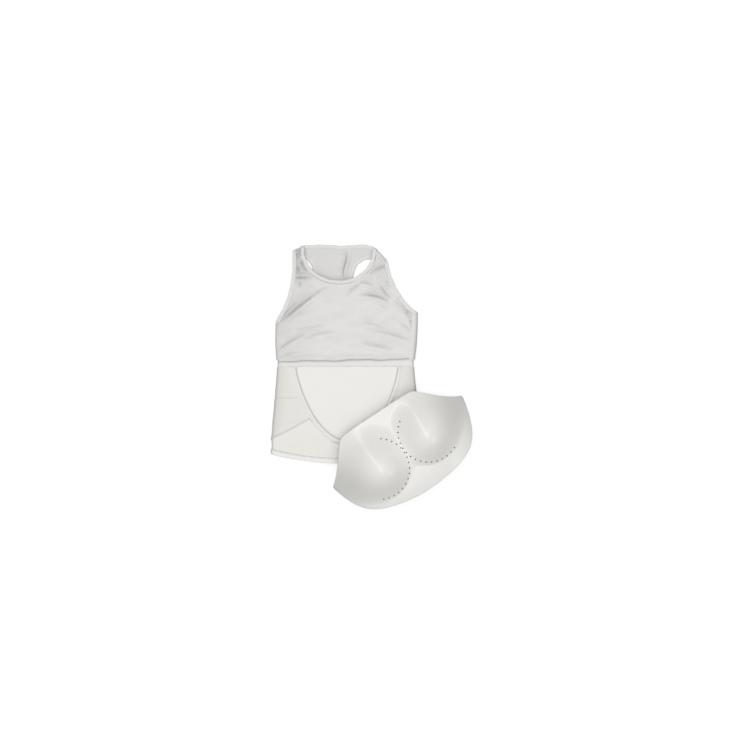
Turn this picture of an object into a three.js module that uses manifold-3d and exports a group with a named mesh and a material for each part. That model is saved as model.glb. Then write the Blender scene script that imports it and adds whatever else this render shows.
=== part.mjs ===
// Chest protector for karate, as it lies on a table: a sleeveless racerback top with a padded belly
// section, and the moulded bust shell that goes inside it, lying across its lower corner.
// Millimetres, +Z up, +Y towards the neck. The origin is on the table, under the middle of it all.

import * as THREE from "three";
import Module from "manifold-3d";

const wasm = await Module();
wasm.setup();

// Driving dimensions

const gap = 0.4; // clearance between neighbouring pieces
const seamGap = 0.8; // clearance along the bent edges of the bindings
const bindingWidth = 7.5;
const garmentPlace = new THREE.Vector3(-53, 25, 0); // middle of the waist
const shellPlace = new THREE.Vector2(79, -171); // middle of the bust shell
const shellTurn = THREE.MathUtils.degToRad(33.5); // turn on the table
const shellTilt = THREE.MathUtils.degToRad(3); // lower edge leans down

// Depths of the faces of each piece inside the outer surface of the garment: outer face, inner face.
const layers = {
  frontPanel: [0.8, 2.6],
  backPanel: [0, 1.8],
  binding: [0, 3],
  backBinding: [0, 2.6],
  waistBand: [3, 5.4],
  bib: [1, 9],
  piping: [-1.4, 6],
  wing: [0, 5.5],
  lowerPanel: [0.8, 6],
  backWaist: [0, 2.5],
  hemBand: [1, 3.6],
};

// Cross-sections of the flattened garment, from the hem to the shoulders. left and right are the side
// folds seen from above, height is the top of the front, crown its drop towards the side folds.
const sections = [
  { y: -225, left: -160, right: 161, height: 20, crown: 2 },
  { y: -165, left: -161.5, right: 161, height: 26, crown: 3 },
  { y: -80, left: -154.5, right: 155, height: 29, crown: 4 },
  { y: 0, left: -149, right: 148, height: 24, crown: 3 },
  { y: 45, left: -151, right: 152, height: 26, crown: 4 },
  { y: 95, left: -150, right: 154, height: 22, crown: 3 },
  { y: 180, left: -148, right: 152, height: 15, crown: 0 },
  { y: 260, left: -146, right: 150, height: 9.6, crown: 0 },
];

// Shoulder folds: the line over which each strap turns to the back, from its outer to its inner end.
const strapMargin = 6; // how far the folds reach past the straps' edges
const shoulders = {
  left: { outer: [-117, 242], inner: [-91, 249.5] },
  right: { outer: [86, 219], inner: [57, 246] },
};

// Main folds of the bust panel: a rounded ridge or dent along a bowed line.
const creases = [
  { from: [-140, 92], to: [-45, 166], bow: -8, rise: 3.4, width: 9 },
  { from: [-128, 100], to: [-60, 150], bow: -8, rise: -2, width: 9 },
  { from: [-140, 32], to: [-30, 72], bow: 8, rise: 2.4, width: 10 },
  { from: [-80, 80], to: [-30, 86], bow: 2, rise: 1.8, width: 9 },
  { from: [3, 152], to: [34, 176], bow: 0, rise: 1.6, width: 8 },
  { from: [28, 151], to: [92, 138], bow: 6, rise: 2.2, width: 9 },
  { from: [40, 92], to: [138, 52], bow: 8, rise: 2.6, width: 10 },
  { from: [44, 42], to: [125, 30], bow: 3, rise: 2, width: 9 },
  { from: [-114, 184], to: [-76, 184], bow: 2, rise: -1.8, width: 8 },
];

const bustHem = { level: 8.5, slope: 0.02 }; // lower edge of the jersey
const waist = { top: 12.5, bottom: -6.5 };
const bib = { middle: 3, halfWidth: 109, depth: 156, top: -6.9, roundness: 1.48 };
const pipingWidth = 6.4;
const grooveWidth = 1.2; // sunken seams of the belly section
const wingSeam = { bibAngle: 49, outer: -174, backInset: 20, steps: 16, rows: 8 };
const hem = { middle: -213, rise: 20, halfWidth: 160, width: 11 };

// The moulded shell lies a little twisted, so its two ends differ: where the straight top edge ends,
// how the lower edge sweeps up, and how far the tip drops.
const shell = {
  endShare: 0.985,
  thickness: 3,
  bottom: -83.5,
  left: { length: 173, shoulderAt: 100, bottomSweep: 55, endSweep: 72, tipDrop: 10 },
  right: { length: 170, shoulderAt: 85, bottomSweep: 40, endSweep: 87, tipDrop: -2 },
  top: 110,
  corner: 40,
  shoulderBlend: 9,
  arch: 54,
  archPower: 4,
  rollTop: 4, // how far the long edges roll down
  rollBottom: 14,
  cupAt: [65, 13.5],
  cupSkew: 0.065, // slope of the line through both cups
  cupHeight: 31,
  cupBridge: 12, // how softly the two cups meet in the middle
  cupPower: 1.3, // over 1, so that the foot of the cup runs out softly
  cupSoften: 1.2, // more so up and outwards
  cupRadius: 68,
  cupSpread: 45,
  cupLean: THREE.MathUtils.degToRad(55),
};
const vents = { count: 17, first: 127, step: 10.5, ring: 64, radius: 1.4 };

// Shape of the flattened garment

// A column of the section table at y, on a smooth curve through its rows.
function sectionValue(column, y) {
  const last = sections.length - 1;
  const within = THREE.MathUtils.clamp(y, sections[0].y, sections[last].y);
  let i = 0;
  while (i < last - 1 && within > sections[i + 1].y) i += 1;
  const slope = (k) => {
    const a = sections[Math.max(k - 1, 0)];
    const b = sections[Math.min(k + 1, last)];
    return (b[column] - a[column]) / (b.y - a.y);
  };
  const span = sections[i + 1].y - sections[i].y;
  const t = (within - sections[i].y) / span;
  const start = sections[i][column] * (1 + 2 * t) * (1 - t) ** 2;
  const end = sections[i + 1][column] * t * t * (3 - 2 * t);
  return start + end + span * (slope(i) * t * (1 - t) ** 2 + slope(i + 1) * t * t * (t - 1));
}

function tube(y) {
  const left = sectionValue("left", y);
  const right = sectionValue("right", y);
  const height = sectionValue("height", y);
  const crown = sectionValue("crown", y);
  const radius = (height - crown) / 2;
  return { centre: (left + right) / 2, flat: (right - left) / 2 - radius, radius, height, crown };
}

function creaseRise(x, y) {
  let rise = 0;
  for (const crease of creases) {
    const [x0, y0] = crease.from;
    const along = new THREE.Vector2(crease.to[0] - x0, crease.to[1] - y0);
    const length = along.length();
    along.normalize();
    const t = ((x - x0) * along.x + (y - y0) * along.y) / length;
    if (t <= 0 || t >= 1) continue;
    const aside = (y - y0) * along.x - (x - x0) * along.y - 4 * crease.bow * t * (1 - t);
    rise += crease.rise * Math.sqrt(Math.sin(Math.PI * t)) * Math.exp(-((aside / crease.width) ** 2));
  }
  return rise;
}

function frontHeight(s, y) {
  const { centre, flat, height, crown } = tube(y);
  const share = Math.min(Math.abs(s) / flat, 1);
  return height - crown * share ** 2 + creaseRise(centre + s, y) * (1 - share ** 6);
}

// Where a point lies that is past the start of a half-round fold: how far out, and how high.
function roundFold(past, radius, depth) {
  const angle = past / radius;
  if (angle >= Math.PI) return { out: Math.PI * radius - past, z: depth };
  const reach = radius - depth;
  return { out: reach * Math.sin(angle), z: radius + reach * Math.cos(angle) };
}

function foldLine({ outer, inner }) {
  const from = new THREE.Vector2(...outer);
  const along = new THREE.Vector2(...inner).sub(from);
  const length = along.length();
  along.normalize();
  const normal = new THREE.Vector2(-along.y, along.x);
  if (normal.y < 0) normal.negate();
  const at = (distance) => [from.x + along.x * distance, from.y + along.y * distance];
  const past = (s, y) => (s - from.x) * normal.x + (y - from.y) * normal.y;
  const beside = (s, y) => (s - from.x) * along.x + (y - from.y) * along.y;
  return { length, normal, at, past, beside };
}

const folds = { left: foldLine(shoulders.left), right: foldLine(shoulders.right) };

// A point of the cloth, s across from the middle of the front and y up, laid in place at a depth
// inside the outer surface. Past the sides it goes on round to the back, past a shoulder fold too.
function drape([s, y], depth) {
  const { centre, flat, radius } = tube(y);
  const side = Math.sign(s);
  const past = Math.abs(s) - flat;
  if (past > 0) {
    const { out, z } = roundFold(past, radius, depth);
    return new THREE.Vector3(centre + side * (flat + out), y, z);
  }
  for (const fold of Object.values(folds)) {
    const over = fold.past(s, y);
    const beside = fold.beside(s, y);
    if (over <= 0 || beside < -strapMargin || beside > fold.length + strapMargin) continue;
    const foot = [s - fold.normal.x * over, y - fold.normal.y * over];
    const { out, z } = roundFold(over, frontHeight(...foot) / 2, depth);
    return new THREE.Vector3(centre + foot[0] + fold.normal.x * out, foot[1] + fold.normal.y * out, z);
  }
  return new THREE.Vector3(centre + s, y, frontHeight(s, y) - depth);
}

// Cloth position of a point on the back, f across from the middle of the back.
function onBack([f, y]) {
  const { flat, radius } = tube(y);
  return [(f < 0 ? -1 : 1) * (2 * flat + Math.PI * radius - Math.abs(f)), y];
}

// Curves and patches on the cloth

function bezier(points, count) {
  const curve = new THREE.CubicBezierCurve(...points.map((p) => new THREE.Vector2(...p)));
  return curve.getPoints(count).map((p) => [p.x, p.y]);
}

function line(from, to, count) {
  const mix = (a, b, t) => a + (b - a) * t;
  return Array.from({ length: count + 1 }, (_, i) => [
    mix(from[0], to[0], i / count),
    mix(from[1], to[1], i / count),
  ]);
}

function joined(...curves) {
  return curves.flatMap((curve, i) => (i ? curve.slice(1) : curve));
}

const reversed = (curve) => [...curve].reverse();

function ruled(lower, upper, rows) {
  const columns = lower.map((point, i) => line(point, upper[i], rows));
  return Array.from({ length: rows + 1 }, (_, r) => columns.map((column) => column[r]));
}

// A patch between four edges: ruled from bottom to top, and drawn out to the side edges, the nearer the
// more. A higher power keeps the sides' pull closer to them.
function coons(bottom, top, left, right, power = 1) {
  const columns = bottom.length - 1;
  const rows = left.length - 1;
  return left.map((_, r) => bottom.map((__, c) => [0, 1].map((k) => {
    const u = c / columns;
    const v = r / rows;
    const across = (i) => (1 - v) * bottom[i][k] + v * top[i][k];
    const pullLeft = (left[r][k] - across(0)) * (1 - u) ** power;
    const pullRight = (right[r][k] - across(columns)) * u ** power;
    return across(c) + pullLeft + pullRight;
  })));
}

// A strip along an edge, to the left of its direction, standing off by the seam gap.
function strip(edge, width) {
  const normals = edge.map((_, i) => {
    const a = new THREE.Vector2(...edge[Math.max(i - 1, 0)]);
    const b = new THREE.Vector2(...edge[i]);
    const c = new THREE.Vector2(...edge[Math.min(i + 1, edge.length - 1)]);
    const before = i ? b.clone().sub(a).normalize() : null;
    const after = i < edge.length - 1 ? c.clone().sub(b).normalize() : before;
    const mean = (before ?? after).clone().add(after).normalize();
    const stretch = 1 / Math.max(mean.dot(after), 0.6);
    return [-mean.y * stretch, mean.x * stretch];
  });
  return [seamGap, seamGap + width / 2, seamGap + width].map((offset) =>
    edge.map(([s, y], i) => [s + normals[i][0] * offset, y + normals[i][1] * offset]));
}

// Solids

function solidMesh(points, triangles) {
  const geometry = new THREE.BufferGeometry();
  geometry.setAttribute("position", new THREE.Float32BufferAttribute(points.flatMap((p) => p.toArray()), 3));
  const volume = triangles.reduce((sum, [a, b, c]) =>
    sum + points[a].dot(points[b].clone().cross(points[c])), 0);
  const facing = volume < 0 ? triangles.map(([a, b, c]) => [a, c, b]) : triangles;
  geometry.setIndex(facing.flat());
  geometry.computeVertexNormals();
  return geometry;
}

// A wall between two faces that share their triangles: outer points, inner points and a rim.
function wall(outer, inner, triangles) {
  const count = outer.length;
  const edges = new Set(triangles.flatMap(([a, b, c]) => [`${a},${b}`, `${b},${c}`, `${c},${a}`]));
  const all = [...triangles];
  for (const [a, b, c] of triangles) {
    all.push([c + count, b + count, a + count]);
    for (const [from, to] of [[a, b], [b, c], [c, a]]) {
      if (edges.has(`${to},${from}`)) continue;
      all.push([to, from, from + count], [to, from + count, to + count]);
    }
  }
  return solidMesh([...outer, ...inner], all);
}

// The triangles of grids of points, where points in the same place count as one.
function meshOf(grids, place) {
  const places = new Map();
  const points = [];
  const triangles = [];
  const idOf = (point) => {
    const key = place(point).toArray().map((value) => Math.round(value * 100)).join();
    if (!places.has(key)) places.set(key, points.push(point) - 1);
    return places.get(key);
  };
  for (const grid of grids) {
    const ids = grid.map((row) => row.map(idOf));
    for (let r = 1; r < ids.length; r += 1) {
      for (let c = 1; c < ids[r].length; c += 1) {
        const [a, b] = [ids[r - 1][c - 1], ids[r - 1][c]];
        const [d, e] = [ids[r][c - 1], ids[r][c]];
        for (const t of [[a, b, e], [a, e, d]]) {
          if (new Set(t).size === 3) triangles.push(t);
        }
      }
    }
  }
  return { points, triangles };
}

function clothSolid(grids, [outerDepth, innerDepth]) {
  const { points, triangles } = meshOf(grids, (point) => drape(point, outerDepth));
  const outer = points.map((point) => drape(point, outerDepth));
  const inner = points.map((point) => drape(point, innerDepth));
  return wall(outer, inner, triangles);
}

// Edges of the jersey top, on the cloth of the front and of the back

const seamLeft = (y) => [-(tube(y).flat + 6), y];
const seamRight = (y) => [tube(y).flat - 3, y];
const armpit = { left: 84, right: 109 };
const bindingRoom = bindingWidth + seamGap;
const leftOuter = folds.left.at(bindingRoom);
const leftInner = folds.left.at(folds.left.length - bindingRoom);
const rightOuter = folds.right.at(bindingRoom);
const rightInner = folds.right.at(folds.right.length - bindingRoom);
const frontNeckMiddle = [-15, 170.5];
const backNeckMiddle = [-15, 245.5];
const narrowLeft = [-65, 190]; // narrowest line of the racerback
const narrowRight = [5, 184];

// Points of the shoulder lines on the back, a little inside the seam.
const behind = (fold, [s, y], by = 2.6) => [s - fold.normal.x * by, y - fold.normal.y * by];
const backLeftOuter = behind(folds.left, leftOuter);
const backLeftInner = behind(folds.left, leftInner);
const backRightOuter = behind(folds.right, rightOuter);
const backRightInner = behind(folds.right, rightInner);

const frontArmholeLeft = bezier([seamLeft(armpit.left), [-116, 126], [-104, 178], leftOuter], 9);
const frontArmholeRight = bezier([rightOuter, [79, 190], [110, 125], seamRight(armpit.right)], 9);
const frontNeck = joined(
  bezier([leftInner, [-101, 213], [-73, 170.5], frontNeckMiddle], 7),
  bezier([frontNeckMiddle, [30, 170.5], [63, 205], rightInner], 7),
);

const backSpan = (y) => tube(y).flat + Math.PI * tube(y).radius;
const backSeamLeft = (y) => [6 - backSpan(y), y];
const backSeamRight = (y) => [backSpan(y) + 3, y];
const backArmholeLeftLow = bezier([backSeamLeft(armpit.left), [-150, 66], [-95, 95], narrowLeft], 10);
const backArmholeRightLow = bezier([narrowRight, [5, 100], [150, 85], backSeamRight(armpit.right)], 12);
const backArmholeLeftHigh = bezier([narrowLeft, [-64, 212], [-71, 236], backLeftOuter], 6);
const backArmholeRightHigh = bezier([narrowRight, [7, 219], [35, 249], backRightOuter], 6);
const backNeck = joined(
  bezier([backLeftInner, [-85, 248], [-45, 249.5], backNeckMiddle], 6),
  bezier([backNeckMiddle, [15, 245], [46, 255], backRightInner], 8),
);

// The run of an edge over a shoulder fold to the seam behind it.
function overShoulder(fold, [s, y]) {
  const reach = (Math.PI * frontHeight(s, y)) / 2 - gap;
  return line([s, y], [s + fold.normal.x * reach, y + fold.normal.y * reach], 5);
}

// Jersey top

const hemLevel = (s) => bustHem.level + bustHem.slope * s;
const backGrids = (grids) => grids.map((grid) => grid.map((row) => row.map(onBack)));

// Moves the two side columns of a patch on to their seams, and the columns near them in proportion.
function toSeams(grid, left, right) {
  const near = (share) => Math.max(1 - 5 * share, 0);
  return grid.map((row) => {
    const last = row.length - 1;
    const leftMove = left(row[0][1])[0] - row[0][0];
    const rightMove = right(row[last][1])[0] - row[last][0];
    return row.map(([s, y], i) => [s + leftMove * near(i / last) + rightMove * near(1 - i / last), y]);
  });
}

function strapTurn(fold, from, to) {
  const columns = line(from, to, 2).map((point) => overShoulder(fold, point));
  return columns[0].map((_, r) => columns.map((column) => column[r]));
}

function frontPanel() {
  const top = joined(
    frontArmholeLeft,
    line(leftOuter, leftInner, 2),
    frontNeck,
    line(rightInner, rightOuter, 2),
    frontArmholeRight,
  );
  const from = seamLeft(bustHem.level);
  const to = seamRight(bustHem.level);
  const bottom = line(from, to, top.length - 1).map(([s]) => [s, hemLevel(s)]);
  const turns = [
    strapTurn(folds.left, leftOuter, leftInner),
    strapTurn(folds.right, rightInner, rightOuter),
  ];
  const bust = toSeams(ruled(bottom, top, 11), seamLeft, seamRight);
  return clothSolid([bust, ...turns], layers.frontPanel);
}

function backPanel() {
  const upperTop = joined(
    line(backLeftOuter, backLeftInner, 1),
    backNeck,
    line(backRightInner, backRightOuter, 1),
  );
  const narrow = line(narrowLeft, narrowRight, upperTop.length - 1);
  const upper = coons(narrow, upperTop, backArmholeLeftHigh, backArmholeRightHigh, 3);
  const lowerTop = joined(backArmholeLeftLow, narrow, backArmholeRightLow);
  const bottom = line(backSeamLeft(bustHem.level), backSeamRight(bustHem.level), lowerTop.length - 1);
  const offLeft = (y) => [backSeamLeft(y)[0] + gap, y];
  const offRight = (y) => [backSeamRight(y)[0] - gap, y];
  const lower = toSeams(ruled(bottom, lowerTop, 6), offLeft, offRight);
  return clothSolid(backGrids([lower, upper]), layers.backPanel);
}

function frontNeckBinding() {
  const edge = joined(
    reversed(overShoulder(folds.left, leftInner)),
    frontNeck,
    overShoulder(folds.right, rightInner),
  );
  return clothSolid([strip(edge, bindingWidth)], layers.binding);
}

function backNeckBinding() {
  return clothSolid(backGrids([strip(backNeck.slice(1, -2), bindingWidth)]), layers.backBinding);
}

function leftArmholeBinding() {
  const edge = joined(
    reversed(overShoulder(folds.left, leftOuter)),
    reversed(frontArmholeLeft),
    backArmholeLeftLow.map(onBack),
    backArmholeLeftHigh.map(onBack),
  );
  return clothSolid([strip(reversed(edge), bindingWidth)], layers.backBinding);
}

function rightArmholeBinding() {
  const edge = joined(
    reversed(overShoulder(folds.right, rightOuter)),
    frontArmholeRight,
    reversed(backArmholeRightLow).map(onBack),
    backArmholeRightHigh.map(onBack),
  );
  return clothSolid([strip(edge, bindingWidth)], layers.backBinding);
}

// Belly section

// Cloth positions all round the tube at y, from the middle of the back round by the left side.
function allRound(y) {
  const { flat, radius } = tube(y);
  const turn = Math.PI * radius;
  const half = joined(
    line([0, y], [flat, y], 9),
    line([flat, y], [flat + turn, y], 6),
    line([flat + turn, y], [2 * flat + turn, y], 7),
  );
  return [...reversed(half.slice(1)).map(([s]) => [-s, y]), ...half];
}

const planX = ([s, y]) => drape([s, y], 0).x;
const hemEdge = (point) => hem.middle + hem.rise * (planX(point) / hem.halfWidth) ** 2;
const hemTop = (point) => hemEdge(point) + hem.width + grooveWidth;

function waistBand() {
  const rows = [waist.bottom, (waist.bottom + waist.top) / 2, waist.top].map(allRound);
  return clothSolid([rows], layers.waistBand);
}

function hemBand() {
  const loop = allRound(hem.middle + hem.rise / 2);
  const rows = [0, 0.5, 1].map((share) =>
    loop.map((point) => [point[0], hemEdge(point) + share * hem.width]));
  return clothSolid([rows], layers.hemBand);
}

// The U of the bib, grown outwards: angle 0 at its right top, PI at its left top.
function bibEdge(angle, grow) {
  const drop = Math.max(Math.sin(angle), 0) ** bib.roundness;
  return [bib.middle + (bib.halfWidth + grow) * Math.cos(angle), bib.top - (bib.depth + grow) * drop];
}

function bibArc(from, to, grow, count) {
  return line([from, grow], [to, grow], count).map(([angle]) => bibEdge(angle, grow));
}

function bibPad() {
  const bottom = bibArc(Math.PI, 0, 0, 22);
  const top = bottom.map(([s]) => [s, bib.top]);
  return clothSolid([ruled(bottom, top, 6)], layers.bib);
}

function bibPiping() {
  const rows = [gap + pipingWidth, gap + pipingWidth / 2, gap].map((grow) => bibArc(Math.PI, 0, grow, 30));
  return clothSolid([rows], layers.piping);
}

const besideBib = pipingWidth + 2 * gap;
const wingAngle = THREE.MathUtils.degToRad(wingSeam.bibAngle);
const backEdge = (y) => onBack([-(tube(y).flat - wingSeam.backInset), y])[0];

// Lower seam of the left wing, from the back round the side to the bib.
const bibCorner = bibEdge(Math.PI - wingAngle, besideBib);
const wingLine = bezier(
  [[backEdge(wingSeam.outer), wingSeam.outer], [-165, -168], [-118, -140], bibCorner], wingSeam.steps);
const wingLineShifted = (shift, down) =>
  wingLine.map(([s, y], i) => [s - shift * (i / wingSeam.steps), y - down]);

// The left wing, for a bib corner that lies further out by a shift: the right wing mirrors it.
function wingGrid(shift) {
  const { steps, rows } = wingSeam;
  const left = line([0, wingSeam.outer], [0, bib.top], rows).map(([, y]) => [backEdge(y), y]);
  const right = bibArc(Math.PI - wingAngle, Math.PI, besideBib, rows).map(([s, y]) => [s - shift, y]);
  return coons(wingLineShifted(shift, 0), line(left[rows], right[rows], steps), left, right);
}

const mirrored = (grid) => grid.map((row) => reversed(row).map(([s, y]) => [-s, y]));
const rightShift = 2 * bib.middle;
const leftWing = () => clothSolid([wingGrid(0)], layers.wing);
const rightWing = () => clothSolid([mirrored(wingGrid(rightShift))], layers.wing);

function lowerPanel() {
  const arcAngle = wingAngle + grooveWidth / bib.halfWidth;
  const arc = bibArc(Math.PI - arcAngle, arcAngle, besideBib, 12);
  const rightLine = mirrored([wingLineShifted(rightShift, grooveWidth)])[0];
  const top = [...wingLineShifted(0, grooveWidth), ...arc, ...rightLine];
  const start = wingSeam.outer - grooveWidth;
  const left = line([0, hemTop([backEdge(start), start])], [0, start], 3).map(([, y]) => [backEdge(y), y]);
  const right = mirrored([left])[0].toReversed();
  const bottom = top.map(([s]) => [s, hemTop([s, hem.middle + hem.rise / 2])]);
  bottom[0] = left[0];
  bottom[top.length - 1] = right[0];
  return clothSolid([coons(bottom, top, left, right)], layers.lowerPanel);
}

function backWaistPanel() {
  const inset = wingSeam.backInset + gap;
  const span = (y) => tube(y).flat - inset;
  const low = hem.middle + hem.rise;
  const bottom = line([-span(low), 0], [span(low), 0], 16).map(([f]) => [f, hemTop(onBack([f, low]))]);
  const top = line([-span(bib.top), bib.top], [span(bib.top), bib.top], 16);
  const grid = ruled(bottom, top, 6).map((row) => row.map(([, y], c) => [span(y) * (c / 8 - 1), y]));
  return clothSolid(backGrids([grid]), layers.backWaist);
}

// Bust shell, in its own frame: u along it, v towards its top edge, z up

const shellEnd = (u) => (u < 0 ? shell.left : shell.right);

function lowEdge(u) {
  const { length, bottomSweep, endSweep, tipDrop } = shellEnd(u);
  const share = Math.abs(u) / length;
  return shell.bottom + bottomSweep * share ** 2 - tipDrop * share ** 4 + endSweep * share ** 8;
}

function highEdge(u) {
  const { length, shoulderAt, tipDrop } = shellEnd(u);
  const share = Math.abs(u) / length;
  const beyond = (length - Math.abs(u)) / (length - shoulderAt);
  const slope = shell.corner + (shell.top - shell.corner) * Math.max(beyond, 0) ** 1.4;
  const apart = slope - shell.top;
  return (slope + shell.top - Math.hypot(apart, shell.shoulderBlend)) / 2 - tipDrop * share ** 4;
}

// An arch with its long edges rolled down, and two cups on it that reach furthest up and outwards.
function shellHeight(u, v) {
  const arch = shell.arch * (1 - (Math.abs(u) / shellEnd(u).length) ** shell.archPower);
  const roll = v > 0 ? shell.rollTop * (v / shell.top) ** 2 : shell.rollBottom * (v / shell.bottom) ** 2;
  const across = Math.hypot(u, shell.cupBridge) - shell.cupAt[0];
  const up = v - shell.cupAt[1] - shell.cupSkew * u;
  const lean = 0.5 + 0.5 * Math.cos(Math.atan2(up, across) - shell.cupLean);
  const share = Math.hypot(across, up) / (shell.cupRadius + shell.cupSpread * lean ** 2);
  const power = shell.cupPower + shell.cupSoften * lean;
  return arch - roll + shell.cupHeight * Math.max(1 - share ** 2, 0) ** power;
}

function shellPoint(u, v, depth) {
  const step = 0.5;
  const du = (shellHeight(u + step, v) - shellHeight(u - step, v)) / (2 * step);
  const dv = (shellHeight(u, v + step) - shellHeight(u, v - step)) / (2 * step);
  const normal = new THREE.Vector3(-du, -dv, 1).normalize();
  return new THREE.Vector3(u, v, shellHeight(u, v)).addScaledVector(normal, -depth);
}

function toManifold(geometry) {
  const mesh = new wasm.Mesh({
    numProp: 3,
    vertProperties: new Float32Array(geometry.attributes.position.array),
    triVerts: new Uint32Array(geometry.index.array),
  });
  return new wasm.Manifold(mesh);
}

function fromManifold(solid) {
  const mesh = solid.getMesh();
  const geometry = new THREE.BufferGeometry();
  geometry.setAttribute("position", new THREE.Float32BufferAttribute(mesh.vertProperties, 3));
  geometry.setIndex(Array.from(mesh.triVerts));
  geometry.computeVertexNormals();
  return geometry;
}

function mergedCylinder(radius, length, sides) {
  const ring = (z) => Array.from({ length: sides }, (_, i) => {
    const angle = (2 * Math.PI * i) / sides;
    return new THREE.Vector3(radius * Math.cos(angle), radius * Math.sin(angle), z);
  });
  const triangles = [];
  for (let i = 0; i < sides; i += 1) {
    const next = (i + 1) % sides;
    triangles.push([i, next, next + sides], [i, next + sides, i + sides]);
    if (i > 1) triangles.push([0, i, i - 1], [sides, sides + i - 1, sides + i]);
  }
  return solidMesh([...ring(-length / 2), ...ring(length / 2)], triangles);
}

function bustShell() {
  const from = [-shell.left.length * shell.endShare, 0];
  const to = [shell.right.length * shell.endShare, 0];
  const low = line(from, to, 32).map(([u]) => [u, lowEdge(u)]);
  const high = low.map(([u]) => [u, highEdge(u)]);
  const { points, triangles } = meshOf([ruled(low, high, 15)], ([u, v]) => shellPoint(u, v, 0));
  const outer = points.map(([u, v]) => shellPoint(u, v, 0));
  const inner = points.map(([u, v]) => shellPoint(u, v, shell.thickness));
  let solid = toManifold(wall(outer, inner, triangles));
  const drill = mergedCylinder(vents.radius, 8 * shell.thickness, 6);
  for (const side of [-1, 1]) {
    for (let i = 0; i < vents.count; i += 1) {
      const angle = THREE.MathUtils.degToRad(vents.first + i * vents.step);
      const u = side * (shell.cupAt[0] + vents.ring * Math.cos(angle));
      const v = shell.cupAt[1] + side * shell.cupSkew * shell.cupAt[0] + vents.ring * Math.sin(angle);
      const hole = drill.clone().translate(u, v, shellHeight(u, v));
      solid = solid.subtract(toManifold(hole));
    }
  }
  const geometry = fromManifold(solid);
  geometry.rotateX(-shellTilt);
  geometry.computeBoundingBox();
  return geometry.translate(0, 0, -geometry.boundingBox.min.z);
}

// Assembly

const jersey = { color: "#e2e1df", roughness: 0.85 };
const jerseyBack = { color: "#dad9d7", roughness: 0.88 };
const bindingCloth = { color: "#e8e7e4", roughness: 0.8 };
const padding = { color: "#eeede8", roughness: 0.7 };
const sidePadding = { color: "#e6e5e0", roughness: 0.7 };
const elastic = { color: "#e4e3df", roughness: 0.85 };
const plastic = { color: "#e3e2de", roughness: 0.3 };

const garmentPieces = [
  { name: "front_panel", geometry: frontPanel(), look: jersey },
  { name: "back_panel", geometry: backPanel(), look: jerseyBack },
  { name: "front_neck_binding", geometry: frontNeckBinding(), look: bindingCloth },
  { name: "back_neck_binding", geometry: backNeckBinding(), look: bindingCloth },
  { name: "left_armhole_binding", geometry: leftArmholeBinding(), look: bindingCloth },
  { name: "right_armhole_binding", geometry: rightArmholeBinding(), look: bindingCloth },
  { name: "waist_band", geometry: waistBand(), look: elastic },
  { name: "bib_pad", geometry: bibPad(), look: padding },
  { name: "bib_piping", geometry: bibPiping(), look: padding },
  { name: "left_wing", geometry: leftWing(), look: sidePadding },
  { name: "right_wing", geometry: rightWing(), look: sidePadding },
  { name: "lower_panel", geometry: lowerPanel(), look: sidePadding },
  { name: "back_waist_panel", geometry: backWaistPanel(), look: sidePadding },
  { name: "hem_band", geometry: hemBand(), look: elastic },
];

function pieceMesh({ name, geometry, look }) {
  const mesh = new THREE.Mesh(geometry, new THREE.MeshStandardMaterial({ ...look, metalness: 0 }));
  mesh.name = name;
  return mesh;
}

const garment = new THREE.Group();
garment.position.copy(garmentPlace);
garment.add(...garmentPieces.map(pieceMesh));

const shellMesh = pieceMesh({ name: "bust_shell", geometry: bustShell(), look: plastic });
shellMesh.position.set(shellPlace.x, shellPlace.y, 0);
shellMesh.rotation.z = shellTurn;

const protector = new THREE.Group();
protector.add(garment, shellMesh);

export default protector;
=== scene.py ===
# Karate chest protector as it lies on a table: a padded racerback top and its loose moulded bust shell.
# Sizes are millimetres in the garment's own frame, from the middle of the waist, y towards the neck.
# The meshes are metres in the part's frame.
import math

import bpy
import numpy as np
from mathutils import Matrix, Vector


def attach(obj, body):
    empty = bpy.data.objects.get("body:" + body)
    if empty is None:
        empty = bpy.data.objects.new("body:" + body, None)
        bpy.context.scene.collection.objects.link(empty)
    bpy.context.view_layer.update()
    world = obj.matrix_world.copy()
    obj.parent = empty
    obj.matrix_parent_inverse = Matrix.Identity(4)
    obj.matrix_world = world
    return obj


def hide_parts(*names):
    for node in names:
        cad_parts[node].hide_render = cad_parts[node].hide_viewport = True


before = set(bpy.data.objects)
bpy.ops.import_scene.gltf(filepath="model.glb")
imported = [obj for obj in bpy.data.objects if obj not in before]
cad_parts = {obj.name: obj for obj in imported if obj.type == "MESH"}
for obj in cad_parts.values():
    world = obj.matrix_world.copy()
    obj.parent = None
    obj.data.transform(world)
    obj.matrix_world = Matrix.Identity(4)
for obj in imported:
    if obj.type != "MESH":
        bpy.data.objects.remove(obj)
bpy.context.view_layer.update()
print("frame loaded with", len(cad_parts), "nodes")

mm = 0.001
garmentPlace = np.array([-53.0, 25.0, 0.0])

# How the emptied garment lies, from hem to shoulders: its side folds, the height of the front and its drop
# from the middle to the sides
lying = {
    "sections": np.array([
        # y, left, right, height, crown
        (-225, -160, 161, 20, 2),
        (-165, -161.5, 161, 26, 3),
        (-80, -154.5, 155, 29, 4),
        (0, -149, 148, 24, 3),
        (45, -151, 152, 26, 4),
        (95, -150, 154, 22, 3),
        (180, -148, 152, 15, 0),
        (260, -146, 150, 9.6, 0),
    ], float),
    "leftShoulder": [(-117, 242), (-91, 249.5)],   # outer and inner end of the fold
    "rightShoulder": [(86, 219), (57, 246)],
    "strapMargin": 6.0,
    "cornerSag": 5.0,                              # how much earlier a strap turns over at its outer corner
    "cornerReach": 22.0,
}

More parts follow.
